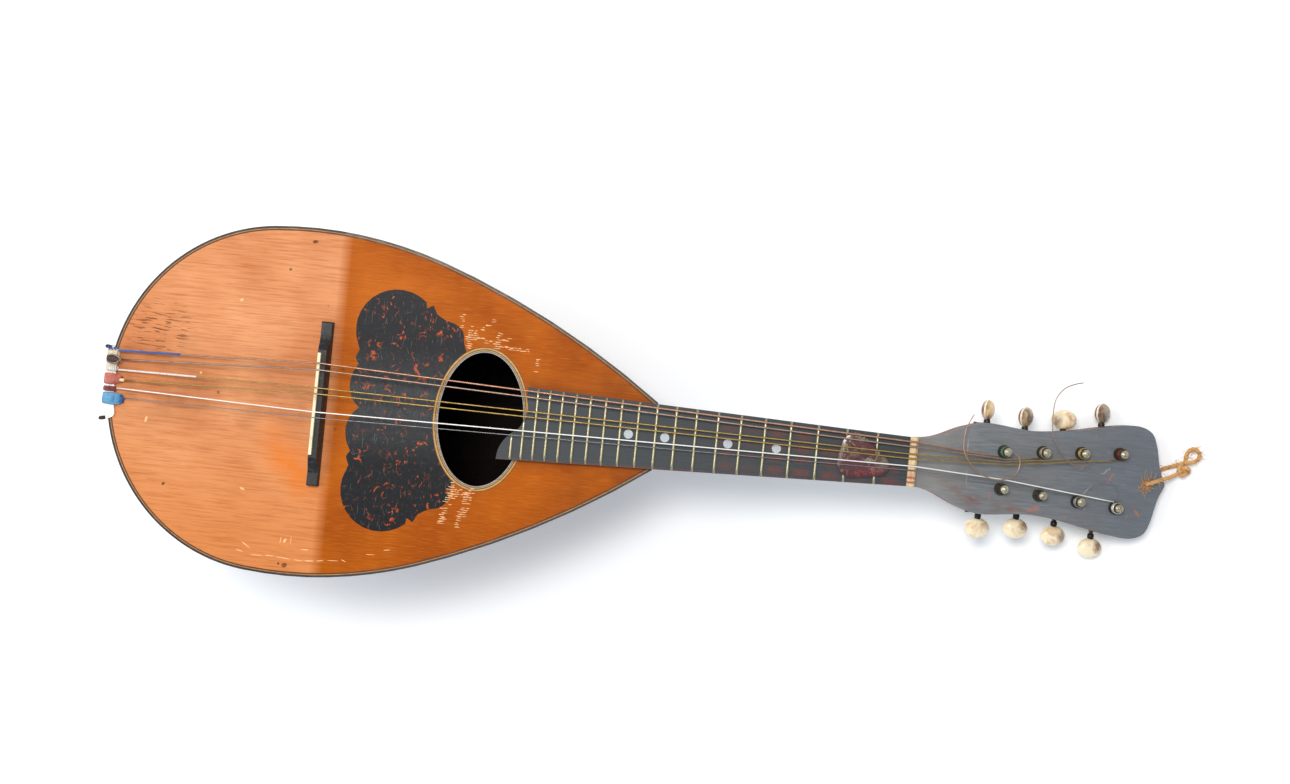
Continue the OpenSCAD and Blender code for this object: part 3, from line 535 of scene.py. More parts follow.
def skin(rings, capped=True, closed=False):
    """Points and faces of a solid through rings."""
    n, m = len(rings), len(rings[0])
    points = [p for ring in rings for p in ring]
    faces = []
    for i in range(n if closed else n - 1):
        for j in range(m):
            a, b = i * m + j, i * m + (j + 1) % m
            c, d = (i + 1) % n * m + j, (i + 1) % n * m + (j + 1) % m
            faces.append((a, b, d, c))
    if capped and not closed:
        faces.append(tuple(reversed(range(m))))
        faces.append(tuple((n - 1) * m + j for j in range(m)))
    return points, faces


def round_profile(r, sides=10):
    def radius(run, a):
        return r
    radius.sides = sides
    return radius


def rope_profile(r, plies, lead, sides=18):
    """The outside of a twisted cord, whose plies go once round in the lead, in millimetres."""
    def radius(run, a):
        phase = plies * (a - 2 * math.pi * run / (lead * MM))
        return r * (0.86 + 0.14 * abs(math.cos(phase / 2)) ** 0.7)
    radius.sides = sides
    return radius


def tube(name, line, profile, material, **rest):
    points, faces = skin(rings_along(line, profile))
    return piece(name, points, faces, material, **rest)


def lerp_outline(outer, inner, share):
    return [p.lerp(q, share) for p, q in zip(outer, inner)]


def inlay(name, outer, inner, shares, material):
    """A strip let into the soundboard, between two shares of the way from one closed outline to another."""
    rings, bevel, rounding = [], 0.04, 0.1
    for p, q in zip(*(lerp_outline(outer, inner, share) for share in shares)):
        zp, zq = deck_z(p.x) + DECK_TOP, deck_z(q.x) + DECK_TOP
        near, far = p.lerp(q, rounding), q.lerp(p, rounding)
        rings.append([lay(p.x, p.y, zp - INLAY_DEPTH), lay(p.x, p.y, zp - bevel), lay(near.x, near.y, zp),
                      lay(far.x, far.y, zq), lay(q.x, q.y, zq - bevel), lay(q.x, q.y, zq - INLAY_DEPTH)])
    return piece(name, *skin(rings, closed=True), material, slot="light_inlay", smooth=False)


# ---------- cord ----------

# In the row frame's millimetres, with x from the hole in the head
TWINE = [
    (0.2, 0, 13.6), (0.9, 0.2, 15.2), (2.2, 0.6, 16.1), (3.9, 1.2, 15.5), (5.9, 2.1, 13.9),
    (8.1, 3, 12.4), (10.3, 3.8, 11.1), (12.5, 4.7, 9.4), (14.7, 5.8, 7.5), (16.7, 7, 6),
    (18.5, 8.2, 5), (20.1, 9.8, 4), (21.1, 12, 3), (21.5, 14.4, 2.2), (21.6, 17, 1.5),
    (22.1, 19.6, 1.1), (23.3, 21.8, 1.1), (25.5, 22.9, 1.2), (27.8, 22.1, 1.6), (29.2, 20, 2.3),
    (28.9, 17.6, 3.1), (27.1, 15.8, 4), (24.7, 14.9, 4.7), (21.9, 14.4, 4.9), (19.1, 13.6, 4.3),
    (16.5, 12.5, 3.2), (13.9, 11.4, 2.2), (11.3, 10.3, 1.4), (8.7, 9, 1.1), (6.3, 7.8, 1.1),
    (4.3, 6.5, 1.25), (2.4, 5.1, 1.65), (0.4, 3.5, 2.15), (-1.6, 1.8, 2.9), (-3, 0.5, 4.3),
    (-3.2, 0, 6),
]
TWINE_R = 1.0
KNOT_C = (20.6, 9.6, 4.5)


def by_hole(x, y, z):
    return Vector((HOLE_REACH + x, y, z))


def jute_look():
    k = Look("jute")
    fibre = k.noise(1.6, 5, 0.7, 1.2)
    colour = k.blend(fibre, 0.32, 0.68, (186, 118, 50), (240, 196, 128))
    colour = k.blend(k.noise(0.5, 3), 0.52, 0.7, colour, (146, 86, 40), 0.85)
    return k.finish(colour, 0.85, fibre, 0.8, 0.3, Sheen_Weight=0.3)


def joined(parts):
    """Points and faces of several solids as one."""
    points, faces = [], []
    for p, f in parts:
        faces += [tuple(i + len(points) for i in face) for face in f]
        points += p
    return points, faces


def laid_rope(line, r, lead, count=3):
    """Plies twisted round a line, as points and faces."""
    plies = []
    for ply in range(count):
        path = []
        for p, u, v, run in frames_along(line, Vector.orthogonal):
            a = 2 * math.pi * (run / lead + ply / count)
            path.append(p + 0.5 * r * (math.cos(a) * u + math.sin(a) * v))
        plies.append(skin(rings_along(path, round_profile(0.56 * r, 8))))
    return joined(plies)


def fibres(seed, spots, reach, count):
    """Thin bent hairs that stick out round points, as one mesh's points and faces."""
    rng = random.Random(seed)
    hairs = []
    for _ in range(count):
        at = Vector(rng.choice(spots))
        way = Vector((rng.gauss(0, 1), rng.gauss(0, 1), abs(rng.gauss(0, 0.7)))).normalized()
        bend = Vector((rng.gauss(0, 1), rng.gauss(0, 1), rng.gauss(0, 0.4))) * 0.5
        long = reach * rng.uniform(0.4, 1.2)
        line = [at + way * (long * t) + bend * (long * t * t) for t in (0, 0.35, 0.7, 1)]
        line = [Vector((p.x, p.y, max(p.z, 0.15))) * MM for p in line]
        hairs.append(skin(rings_along(line, round_profile(rng.uniform(0.06, 0.11) * MM, 4))))
    return joined(hairs)


def make_twine():
    jute = jute_look()
    way = [by_hole(*p) for p in TWINE]
    knot_c = by_hole(*KNOT_C)
    line = [p * MM for p in curve_through(way, 8)]
    cord = piece("twine_cord", *laid_rope(line, 1.2 * TWINE_R * MM, 7 * MM), jute, slot="jute")
    turns = []
    for a in angles(120):
        spread = 2.1 + 0.95 * math.cos(3 * a)
        turn = (spread * math.cos(2 * a), spread * math.sin(2 * a) * 0.95, 2.0 * math.sin(3 * a))
        turns.append((knot_c + Vector(turn)) * MM)
    rings = rings_along(turns, rope_profile(1.3 * MM, 3, 5))
    knot = piece("twine_knot", *skin(rings, closed=True), jute, slot="jute")
    spots = way[:2] * 6 + way[3:33] + way[13:22] * 2 + [knot_c] * 10
    fuzz = piece("twine_fibres", *fibres(5, spots, 3.2, 260), jute, slot="jute")
    ends = ((-0.6, -0.6, 13.9), (-0.9, -1.6, 14.1), (-0.1, -1.9, 13.8), (-0.8, 0.9, 14))
    frayed = [by_hole(*p) for p in ends]
    tuft = piece("twine_tuft", *fibres(8, frayed, 3.4, 120), jute, slot="jute")
    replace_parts(cord, "twine")


# ---------- body trim ----------


def make_trim():
    gold = plain_wood("gold_line", (186, 132, 48), (146, 92, 32), 0.5, 1.4, (204, 150, 100))
    yellow = plain_wood("yellow_line", (206, 158, 66), (166, 112, 44), 0.4, 1.4)
    brown = plain_wood("brown_line", (84, 38, 26), (56, 26, 20), 0.45)
    black = plain_wood("black_line", (26, 24, 24), (40, 36, 36), 0.4)
    pale = plain_wood("pale_line", (168, 176, 184), (120, 122, 124), 0.4)
    edge = outline(BINDING_W), outline(BINDING_W + PURFLING_W)
    inlay("purfling_edge", *edge, (0, 0.15), black)
    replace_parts(inlay("purfling_light", *edge, (0.16, 0.52), gold), "purfling")
    inlay("purfling_dark", *edge, (0.53, 1), brown)
    lines = ((0, 0.11, brown), (0.12, 0.44, yellow), (0.45, 0.56, black), (0.57, 0.74, yellow),
             (0.75, 0.81, black), (0.82, 0.995, pale))
    rings = [inlay(f"rosette_ring_{number + 1}", ellipse(ROSETTE_HALF), ellipse(HOLE_HALF), shares, material)
             for number, (*shares, material) in enumerate(lines)]
    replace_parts(rings[0], "rosette")


# Places where the plectrum tore the grain: x, y, angle, half length, half width, torn fibres
TORN = (
    (-259.4, -49.5, 77, 12.5, 1.6, 46), (-250.4, -52, 77, 11.5, 1.2, 34), (-247.2, -48.5, 75, 7.5, 0.8, 14),
    (-252.8, -43.3, 0, 7, 2.8, 44), (-255.6, 46, 88, 6.5, 0.8, 24), (-252.4, 47.5, 88, 4, 0.7, 12),
    (-252.5, 46.3, -3, 5, 1.4, 20), (-238.9, 45.5, 86, 4.4, 0.9, 18), (-236.8, 46.4, 0, 4, 1.4, 13),
    (-227.5, 41.9, -2, 6.5, 0.5, 14), (-235.6, 42.1, 0, 2, 0.6, 5), (-243.5, 44.6, 0, 3, 0.8, 6),
    (-245.8, 53.8, 42, 4.6, 0.3, 9), (-260.6, 56, 80, 5, 1, 8), (-215.5, 34, 80, 4.5, 0.9, 6),
)
# Long scratches along the treble edge, and short ones: x, y, angle, half length
SCRATCHES = ((-366, -90.1, 3, 4.4), (-358, -89.6, 1, 3), (-350, -90, -3, 5.5), (-341, -90.4, -1, 3.4),
             (-334.5, -90, 5, 3.2), (-328.5, -89.3, 8, 2.4), (-321, -88.5, 2, 3.6), (-315, -88, -20, 1.6),
             (-372.6, -84.8, -32, 3.4), (-352.5, -79.9, 82, 2.2), (-346.5, -79.2, 88, 2.4),
             (-338, -84, 3, 2.6), (-376, -88.5, -12, 2.2), (-300, -83, 4, 3), (-291, -79.5, 8, 2.2))
GRAIN_STEP = 1.25


def splinter(x, y, angle, long, wide):
    """A thin raised fibre of the soundboard: half sizes, and a closed underside."""
    along = Vector((math.cos(math.radians(angle)), math.sin(math.radians(angle))))
    across = Vector((-along.y, along.x))
    shape = ((-1, 0), (-0.5, 1), (0.45, 0.8), (1, 0), (0.5, -0.9), (-0.4, -1))
    rings = []
    for share, z in ((1.0, -0.08), (1.0, 0.02), (0.7, 0.07)):
        points = [Vector((x, y)) + share * (u * long * along + v * wide * across) for u, v in shape]
        rings.append([lay(p.x, p.y, deck_z(p.x) + z) for p in points])
    return skin(rings)


def make_torn_grain():
    rng = random.Random(21)
    torn = []
    for x, y, angle, half, wide, count in TORN:
        way = Matrix.Rotation(math.radians(angle), 2)
        for _ in range(count):
            p = Vector((x, y)) + way @ Vector((rng.uniform(-half, half), rng.gauss(0, wide / 2)))
            row = round(p.y / GRAIN_STEP) * GRAIN_STEP + rng.gauss(0, 0.12)
            torn.append(splinter(p.x, row, rng.gauss(0, 5), rng.uniform(0.7, 1.7), rng.uniform(0.13, 0.26)))
    for x, y, angle, half in SCRATCHES:
        torn.append(splinter(x, y, angle, half, rng.uniform(0.16, 0.28)))
    fibre = plain_wood("torn_fibre", (255, 214, 160), (234, 164, 104), 0.7, 1.5)
    piece("torn_grain", *joined(torn), fibre, slot="spruce", smooth=False)


def make_lips():
    """The plate's two bent lips, thick with black paint."""
    black = metal_look("black_lip", (34, 30, 30), (62, 42, 38), 0.45, 0.8, 0.7, 0.2)
    for side, turn in (("bass", 11.6), ("treble", -11.6)):
        out = normal(turn)
        across = Vector((out.y, -out.x))
        half, high, middle = 1.15, 2.4, -19.4
        rings = []
        for r, share in ((100.9, 0.6), (101.3, 0.95), (102.6, 1.05), (104.2, 1.0), (104.9, 0.7)):
            ring = []
            for a in angles(14):
                p = TAIL_C + r * out + half * share * math.cos(a) * across
                ring.append(lay(p.x, p.y, middle + high * share * math.sin(a)))
            rings.append(ring)
        piece(f"tail_lip_{side}", *skin(rings), black, slot="tail_metal")


# ---------- neck furniture ----------


def make_frets():
    brass = metal_look("fret_metal", (214, 202, 164), (132, 118, 84), 0.34, 1.2, 0.5)
    half_wide, board_top, foot = 0.8, 4, 3.2
    inset, steps = 0.1, 10
    wires = []
    for n in range(1, FRET_COUNT + 1):
        x, half = fret_x(n), board_half(fret_x(n))
        # the last two stop where the board is cut away
        end = SHORT_FRETS.get(n, half)
        rings = []
        for i in range(steps + 1):
            y = -half + inset + (end + half - 2 * inset) * i / steps
            high = 0.55 if i in (0, steps) else 1.0
            ring = [lay(x + half_wide * math.cos(a), y, board_top + high * max(math.sin(a), 0))
                    for a in angles(16)[:9]]
            rings.append(ring + [lay(x - half_wide, y, foot), lay(x + half_wide, y, foot)])
        wires.append(skin(rings))
    piece("fret_wires", *joined(wires), brass, slot="fret_brass", replaces=("frets",))


# ---------- strings ----------

STRINGS = [
    # radius, start, y at the saddle, y at the nut, points over the head
    (0.5, (-458.5, 19), 23, 11.4, [(49.4, 7.1, 3.8)]),
    (0.5, (-456, 14), 19.2, 8.6, [(51.9, 6.6, 5.2), (72.6, 8.6, 3.8)]),
    (0.4, (-457.5, 8), 9, 4.4, [(51.9, 5.2, 5.2), (75.4, 8.2, 4.8), (96.2, 10.4, 3.8)]),
    (0.4, (-453.5, 2.2), 5.6, 1.8, [(51.9, 3.6, 5.3), (75.4, 6.4, 5), (98.9, 9.6, 4.6), (119.8, 12, 3.8)]),
    (0.35, (-457.5, -2.7), -4.7, -2.4,
     [(51.9, -5.2, 5.2), (75.4, -7.6, 4.9), (98.9, -10, 4.5), (120, -12.2, 3.8)]),
    (0.25, (-453, -8), -7.9, -4.8, [(51.9, -7.3, 5), (75.4, -9.1, 4.5), (96.4, -10.6, 3.8)]),
]
TAILS = [
    (0.3, [(56.4, 10.2, 7), (59, 7.5, 7.6), (58.6, 1.5, 8), (55, -3.2, 8.4), (47.6, -5.4, 8.6),
           (39.4, -4.4, 8.6), (33.4, -1.4, 8.4), (28.6, 3.4, 8), (25.6, 8.6, 7.4), (25, 14.6, 6.6),
           (25.8, 20.8, 5.8), (27.8, 26, 5.4), (30, 30.4, 5.4)]),
    (0.3, [(103.2, 12.8, 6.8), (100.8, 8.6, 7.6), (96, 6.4, 8), (90, 7.6, 8.4), (83.6, 12.6, 8.8),
           (78.6, 19.6, 9), (76.4, 26, 9.2), (75.6, 36, 9.6), (76.5, 44, 10), (80.6, 50, 10.4),
           (86, 53, 10.8), (91.5, 54.6, 11)]),
    (0.22, [(99.8, -9.6, 6.4), (101.6, -6.4, 7), (105.4, -2.6, 7.4), (110.8, -0.6, 7.6),
            (116.4, -0.8, 7.4), (120.2, -4.6, 7), (122, -10.8, 6.6)]),
]
SADDLE_X, SADDLE_HALF, SADDLE_TOP = -338.5, 1.2, 10.9
NUT_FRONT, NUT_BACK, NUT_TOP = 0.5, 3.8, 6.0
STRING_START = 3.4
STRING_STEP = 12
SILK = 0.14


def string_line(spec):
    """A string's middle, from its loop at the tail to its post, in the instrument's axes."""
    r, start, saddle_y, nut_y, over_head = spec
    bends = [(*start, deck_z(start[0]) + STRING_START)]
    bends += [(x, saddle_y, SADDLE_TOP + r) for x in (SADDLE_X - SADDLE_HALF, SADDLE_X + SADDLE_HALF)]
    bends += [(x, nut_y, NUT_TOP + r) for x in (NUT_FRONT, NUT_BACK)]
    bends += [tuple(head_point(*p)) for p in over_head]
    line = []
    for a, b in zip(bends, bends[1:]):
        a, b = Vector(a), Vector(b)
        steps = max(1, round((b - a).length / STRING_STEP))
        line += [a.lerp(b, i / steps) for i in range(steps)]
    return line + [Vector(bends[-1])]


def wire_look(name, light, dark, pitch=0.7, rough=0.34, metallic=0.9):
    k = Look(name)
    blot = k.noise(0.3, 4, 0.6, 0.2)
    wrap = k.add("ShaderNodeTexWave", Vector=k.place, Scale=pitch, Distortion=0.0)
    colour = k.blend(blot, 0.35, 0.65, light, dark, 0.4)
    rough = k.span(blot, 0.3, 0.7, rough, rough + 0.12)
    return k.finish(colour, rough, wrap.outputs["Fac"], 0.12, 0.05, metallic)


def thread_look(name, light, dark):
    k = Look(name)
    twist = k.noise(1.1, 4, 0.7, 0.4, k.moved(k.place, (0.6, 1.5, 1.5)))
    return k.finish(k.blend(twist, 0.35, 0.65, light, dark), 0.8, twist, 0.6, 0.2, Sheen_Weight=0.2)


def make_strings():
    copper = wire_look("copper_wound", (196, 150, 122), (128, 92, 74))
    grey = wire_look("grey_wound", (176, 150, 132), (112, 92, 80))
    gold = wire_look("gold_wound", (190, 158, 92), (112, 92, 54))
    white = wire_look("bright_plain", (255, 252, 246), (232, 224, 214), 0.01, 0.3, 0.25)
    thin = wire_look("thin_plain", (150, 148, 150), (96, 94, 96), 0.01)
    whole = None
    for number, (spec, look) in enumerate(zip(STRINGS, (copper, grey, gold, gold, white, thin))):
        line = [lay(*p) for p in string_line(spec)]
        made = tube(f"string_{number + 1}", line, round_profile(spec[0] * MM), look, slot="string_wire")
        whole = whole or made
    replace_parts(whole, "strings")
    for number, ((r, bends), look) in enumerate(zip(TAILS, (copper, grey, thin))):
        line = [on_head(*p) for p in curve_through(bends, 6)]
        tube(f"wire_end_{number + 1}", line, round_profile(r * MM, 8), look, slot="string_wire")
    # silk over the first stretch of two strings
    for number, end, look in ((0, -420.5, thread_look("blue_silk", (66, 108, 176), (40, 70, 128))),
                              (2, -409.8, thread_look("white_silk", (250, 244, 236), (206, 192, 178)))):
        r = STRINGS[number][0] + SILK
        line = [p for p in string_line(STRINGS[number]) if p.x < end]
        last = string_line(STRINGS[number])[len(line)]
        line.append(line[-1].lerp(last, (end - line[-1].x) / (last.x - line[-1].x)))
        line = [lay(*p) for p in line]
        tube(f"silk_{number + 1}", line, rope_profile(r * MM, 2, 2.2, 12), look, slot="cloth")


# ---------- tuners ----------

FIRST_POST = Vector((51.9, 10.7))
POST_STEP = Vector((23.5, 1.65))
BUTTON_Y = {"bass": (34, 32, 32.6, 38.6), "treble": (35.2, 33.5, 35.8, 41.2)}
BUTTON_TURN = (55, 46, -8, 42)
BUTTON_HALF = (5.8, 7.3, 3.3)
BUTTON_SIDES = 48
# share of the half sizes and of the thickness, from one face's middle to the rim's corner, and over the rim
BUTTON_FACE = [(abs(math.cos(u)) ** 0.8, math.copysign(abs(math.sin(u)) ** 0.9, u))
               for u in (math.radians(a) for a in (-88, -80, -70, -60, -50, -40, -30, -20, -12, -7))]
BUTTON_RIM = [(1.0, -0.07), (1.035, -0.05), (1.035, 0.05), (1.0, 0.07)]


def post_place(side, i):
    p = FIRST_POST + i * POST_STEP
    return p.x, SIDES[side] * p.y


def button_centre(side, i):
    anchor = joints[f"button_turn_{side}_{i + 1}"]["pos_m"]
    return Vector((anchor[0], SIDES[side] * BUTTON_Y[side][i] * MM, anchor[2]))


def make_button(side, i, face, rim_highlight_look, collar_look):
    sign = SIDES[side]
    centre = button_centre(side, i)
    turn = math.radians(BUTTON_TURN[i] if side == "bass" else 0)
    spin = Matrix.Rotation(PITCH + HEAD_PITCH + turn, 3, "Y")
    long, wide, thick = BUTTON_HALF
    rings = []
    for share, high in BUTTON_FACE + BUTTON_RIM + [(a, -b) for a, b in reversed(BUTTON_FACE)]:
        half_x, half_y = share * wide, share * long
        rings.append([centre + spin @ Vector((half_x * math.cos(a), half_y * math.sin(a), high * thick)) * MM
                      for a in angles(BUTTON_SIDES)])
    bone = skin(rings)
    neck = [(-0.5, 1.72), (0.3, 1.95), (1.6, 1.95), (2.0, 1.75), (2.9, 1.75), (3.4, 0.9)]
    collar = [[centre + Vector((r * math.cos(a), sign * (y - long - 2.2), r * math.sin(a))) * MM
               for a in angles(24)] for y, r in neck]
    name = f"button_{side}_{i + 1}"
    thing = piece(f"{name}_bone", *joined([bone, skin(collar)]), face, body=f"shaft_{side}_{i + 1}",
                  slot="bone", replaces=(name,))
    thing.data.materials.append(rim_highlight_look)
    thing.data.materials.append(collar_look)
    # the rim takes the bands of faces that touch its rings, with a paler cream that is a painted highlight
    # along the rim
    rim_start = (len(BUTTON_FACE) - 1) * BUTTON_SIDES
    rim_end = rim_start + (len(BUTTON_RIM) + 1) * BUTTON_SIDES
    for index, polygon in enumerate(thing.data.polygons):
        if index >= len(bone[1]):
            polygon.material_index = 2
        elif rim_start <= index < rim_end:
            polygon.material_index = 1


def make_buttons():
    # the rim's near-white cream is a painted highlight where the rim catches the light
    rim_highlight_k, rim_highlight_colour, fine = bone_look("button_rim_highlight", (252, 244, 226), (226, 190, 130), 0.3)
    rim_highlight_look = rim_highlight_k.finish(rim_highlight_colour, 0.4, fine, 0.1)
    collar_look = metal_look("collar_steel", (70, 66, 62), (34, 31, 30), 0.45, 1.2, 0.7)
    # colours of the bone and of its stain, how far they spread, and the side of the darker edge; the dull
    # bass bones and the darker edge are partly real stain and partly painted shade on the sides turned from
    # the light
    usual = ((255, 238, 200), (208, 150, 84), 0.6)
    bone_stains_and_shade = {("bass", 0): ((244, 206, 140), (110, 58, 38), 0.7),
              ("bass", 1): ((186, 152, 104), (92, 72, 60), 0.9),
              ("bass", 2): ((255, 236, 196), (196, 130, 62), 0.7),
              ("bass", 3): ((150, 120, 88), (84, 70, 62), 0.9)}
    dark_edge_stain_and_shade = {("bass", 0): (-4.5, 0, 0.9), ("bass", 1): (-5, 1, 0.9), ("bass", 2): (-4.5, -1, 0.75),
             ("bass", 3): (-4, 0, 0.9), ("treble", 0): (4.5, 3, 0.3), ("treble", 1): (5, 2.5, 0.75),
             ("treble", 2): (5, -0.5, 0.7), ("treble", 3): (4.5, 1.5, 0.8)}
    for side, i in TUNERS:
        cream, stain, amount = bone_stains_and_shade.get((side, i), usual)
        k, colour, fine = bone_look(f"bone_{side}_{i + 1}", cream, stain, amount, 3.1 * i + 7)
        middle = own(button_centre(side, i))
        dx, dy, share = dark_edge_stain_and_shade[side, i]
        edge = k.times(k.patch(middle.x + dx, middle.y + dy, 80, 6.5, 4.2),
                       k.span(k.noise(0.5, 4, 0.7), 0.3, 0.6, 0.5, 1.2))
        # the dark brown edge patch is partly stain and partly painted shade
        colour = k.mix(k.times(k.span(edge, 0.1, 0.7), share), colour, (112, 62, 34))
        face = k.finish(colour, 0.32, fine, 0.1, Coat_Weight=0.2, Coat_Roughness=0.2, Subsurface_Weight=0.05,
                        Subsurface_Scale=0.003)
        make_button(side, i, face, rim_highlight_look, collar_look)


# Wire wound on the posts, with the rise of one turn
COIL_TURNS, COIL_STEPS = 4, 20
COIL_R, COIL_WIRE_R = 2.97, 0.36
COIL_LOW, COIL_RISE = 2.4, 0.72


def make_windings():
    looks = {("bass", 0): wire_look("green_copper", (96, 150, 120), (52, 84, 66), 0.8, 0.5),
             ("bass", 1): wire_look("post_wire", (180, 160, 140), (110, 94, 80)),
             ("bass", 2): wire_look("post_gold", (196, 168, 104), (110, 92, 56)),
             ("bass", 3): wire_look("post_red", (130, 60, 48), (70, 34, 30), 0.8, 0.5),
             ("treble", 2): wire_look("post_thin", (160, 156, 152), (90, 88, 88)),
             ("treble", 3): wire_look("post_white", (236, 228, 220), (150, 140, 130))}
    for (side, i), look in looks.items():
        x, y = post_place(side, i)
        line = []
        for s in range(COIL_TURNS * COIL_STEPS + 1):
            a = 2 * math.pi * s / COIL_STEPS
            line.append(on_head(x + COIL_R * math.cos(a), y + COIL_R * math.sin(a),
                                COIL_LOW + COIL_RISE * s / COIL_STEPS))
        tube(f"winding_{side}_{i + 1}", line, round_profile(COIL_WIRE_R * MM, 8), look,
             body=f"winder_{side}_{i + 1}", slot="string_wire")


# ---------- scraps round the string loops ----------

SCRAP_BACK = -465.6
FLANGE_HALF, FLANGE_TOP, FLANGE_SLOPE = 22, 1.2, 0.9
ABOVE_DECK = 0.12


def under_scrap(x, y=0.0):
    """Height of what a scrap lies on: the flange, and the soundboard in front of it."""
    front = TAIL_C.x - math.sqrt(FLANGE_R ** 2 - min(abs(y), FLANGE_HALF) ** 2)
    return deck_z(x) + max(FLANGE_TOP - FLANGE_SLOPE * max(x - front, 0), ABOVE_DECK)


def cloth_look(name, light, dark, weave=2.2):
    k = Look(name)
    threads, across = (k.add("ShaderNodeTexWave", {"bands_direction": bands}, Vector=k.place, Scale=weave,
                             Distortion=1.2, Detail=2.0).outputs["Fac"] for bands in "XY")
    weave_height = k.calc("ADD", threads, across)
    blot = k.noise(0.5, 4, 0.6)
    colour = k.blend(blot, 0.35, 0.65, light, dark)
    # the low parts of the weave are darkened: painted shade between the threads
    colour = k.mix(k.span(weave_height, 0.4, 1.4, 0.25, 0), colour, dark)
    return k.finish(colour, 0.85, weave_height, 0.6, 0.25, Sheen_Weight=0.3)


def scrap(name, y, width, front, high, look, folds=3.0, seed=1.0, ragged=0.0, pointed=0.0):
    """A folded bit of cloth over the tail's flange, closed underneath."""
    back, count, around = SCRAP_BACK, 15, 26
    rings = []
    for i in range(count):
        t = i / (count - 1)
        x = back + (front - back) * t
        swell = math.sin(math.pi * min(max(t * 0.86 + 0.12, 0), 1)) ** 0.35
        ring = []
        for a in angles(around):
            wave = math.sin(folds * 2 * a + seed + 2.4 * t)
            fold = 0.5 * wave + 0.5 * noise.noise(Vector((a * 1.6, t * 3, seed)))
            u, v = math.cos(a), math.sin(a)
            half = width / 2 * (0.9 + 0.1 * fold) * (0.82 + 0.18 * swell) * (1 - pointed * t ** 3)
            rise = high * (0.8 + 0.2 * fold) * swell
            px = x + (ragged * noise.noise(Vector((a * 3, seed, 0))) if i == count - 1 else 0)
            py = y + half * math.copysign(abs(u) ** 0.7, u)
            pz = under_scrap(px, py) + 0.05 + (rise * abs(v) ** 0.75 if v > 0 else 0)
            ring.append(lay(px, py, pz))
        rings.append(ring)
    return piece(name, *skin(rings), look, slot="cloth")


def wound(name, y, width, front, high, look, r, turns, seed):
    """Thread wound round a loop end, in one length."""
    rng = random.Random(seed)
    line, back, steps = [], SCRAP_BACK + 0.8, 14
    for s in range(turns * steps + 1):
        a = 2 * math.pi * s / steps
        t = s / (turns * steps)
        x = back + (front - back) * (t + 0.03 * math.sin(9 * a + seed))
        grow = math.sin(math.pi * (0.15 + 0.75 * t)) ** 0.4
        line.append(lay(x + rng.uniform(-0.1, 0.1), y + (width / 2 - r) * grow * math.cos(a),
                        under_scrap(x, y) + r + 0.1 + (high - 2 * r) * grow * (0.5 + 0.5 * math.sin(a))))
    return tube(name, line, rope_profile(r * MM, 2, 1.4, 10), look, slot="cloth")


def make_scraps():
    cream = thread_look("cream_thread", (250, 240, 214), (214, 190, 140))
    blue = thread_look("blue_thread", (58, 110, 206), (34, 64, 150))
    dark = thread_look("dark_thread", (110, 78, 70), (64, 44, 44))
    silk = thread_look("silk_thread", (250, 246, 240), (214, 204, 190))
    salmon = cloth_look("salmon_cloth", (236, 140, 116), (206, 96, 84))
    maroon = cloth_look("maroon_cloth", (176, 56, 66), (116, 32, 44))
    sky = cloth_look("light_blue_cloth", (126, 200, 238), (78, 158, 212))
    deep = cloth_look("deep_blue_cloth", (52, 128, 196), (30, 88, 156))
    wire = wire_look("loop_wire", (156, 150, 146), (90, 84, 80), 0.8)
    first = scrap("scrap_1", 18, 4.4, -458.6, 2.2, cream, 3, 1.0)
    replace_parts(first, "hook_wraps")
    wound("scrap_1_thread", 17.4, 4.8, -458.8, 2.9, cream, 0.42, 7, 3)
    wound("scrap_1_blue", 19.8, 2.4, -459.4, 3.2, blue, 0.42, 3, 5)
    scrap("scrap_2", 13.9, 4.4, -458.4, 2.6, cream, 4, 2.0)
    wound("scrap_2_tangle", 13.9, 4.8, -458, 4.2, dark, 0.36, 9, 7)
    loop = [(-464.4, 12.4), (-461.5, 11.4), (-458.5, 12.2), (-456.5, 14), (-458.7, 15.8), (-461.9, 16.4),
            (-464.5, 15.4)]
    line = [lay(p.x, p.y, under_scrap(-462) + 4.3) for p in curve_through([(*q, 0) for q in loop], 5)]
    tube("scrap_2_loop", line, round_profile(0.4 * MM), wire, slot="string_wire")
    scrap("scrap_3", 9.2, 5.2, -459, 2.4, cream, 3, 4.0)
    wound("scrap_3_silk", 8.4, 3.6, -458.4, 3.5, silk, 0.5, 6, 11)
    scrap("scrap_4", 2.4, 7.6, -455.6, 3.9, salmon, 2, 5.0, 1.6, 0.45)
    k, colour, fine = bone_look("gold_bead", (242, 214, 140), (190, 140, 60))
    bead_look = k.finish(colour, 0.35, fine, 0.1)
    rings = []
    bead_x, bead_y, bead_long = -454.6, 2.2, 1.8
    for u in (math.radians(a) for a in range(-84, 85, 14)):
        rings.append([lay(bead_x + bead_long * math.sin(u), bead_y + math.cos(u) * math.cos(a),
                          under_scrap(bead_x) + 2.9 + math.cos(u) * math.sin(a)) for a in angles(16)])
    piece("string_bead", *skin(rings), bead_look, slot="cloth")
    scrap("scrap_5", -3.4, 3.4, -458.4, 3.4, maroon, 3, 6.0)
    scrap("scrap_6", -9, 7.6, -455.2, 4.1, sky, 2, 7.0, 2.2)
    scrap("scrap_6_front", -9, 5.6, -453.8, 2.8, deep, 4, 8.0, 2.6)


# ---------- plectrum ----------

# The plectrum's rounded corners and their radii
PLECTRUM = ((Vector((-16.5, -4)), 6.0), (Vector((-31, 5.6)), 8.0), (Vector((-32, -4)), 8.5))


def plectrum_outline():
    """Points of the blade's edge, which wraps three rounded corners."""
    points = []
    for way in (Vector((math.cos(a), math.sin(a))) for a in angles(96)):
        corner, radius = max(PLECTRUM, key=lambda c: c[0].dot(way) + c[1])
        points.append(corner + radius * way)
    return points


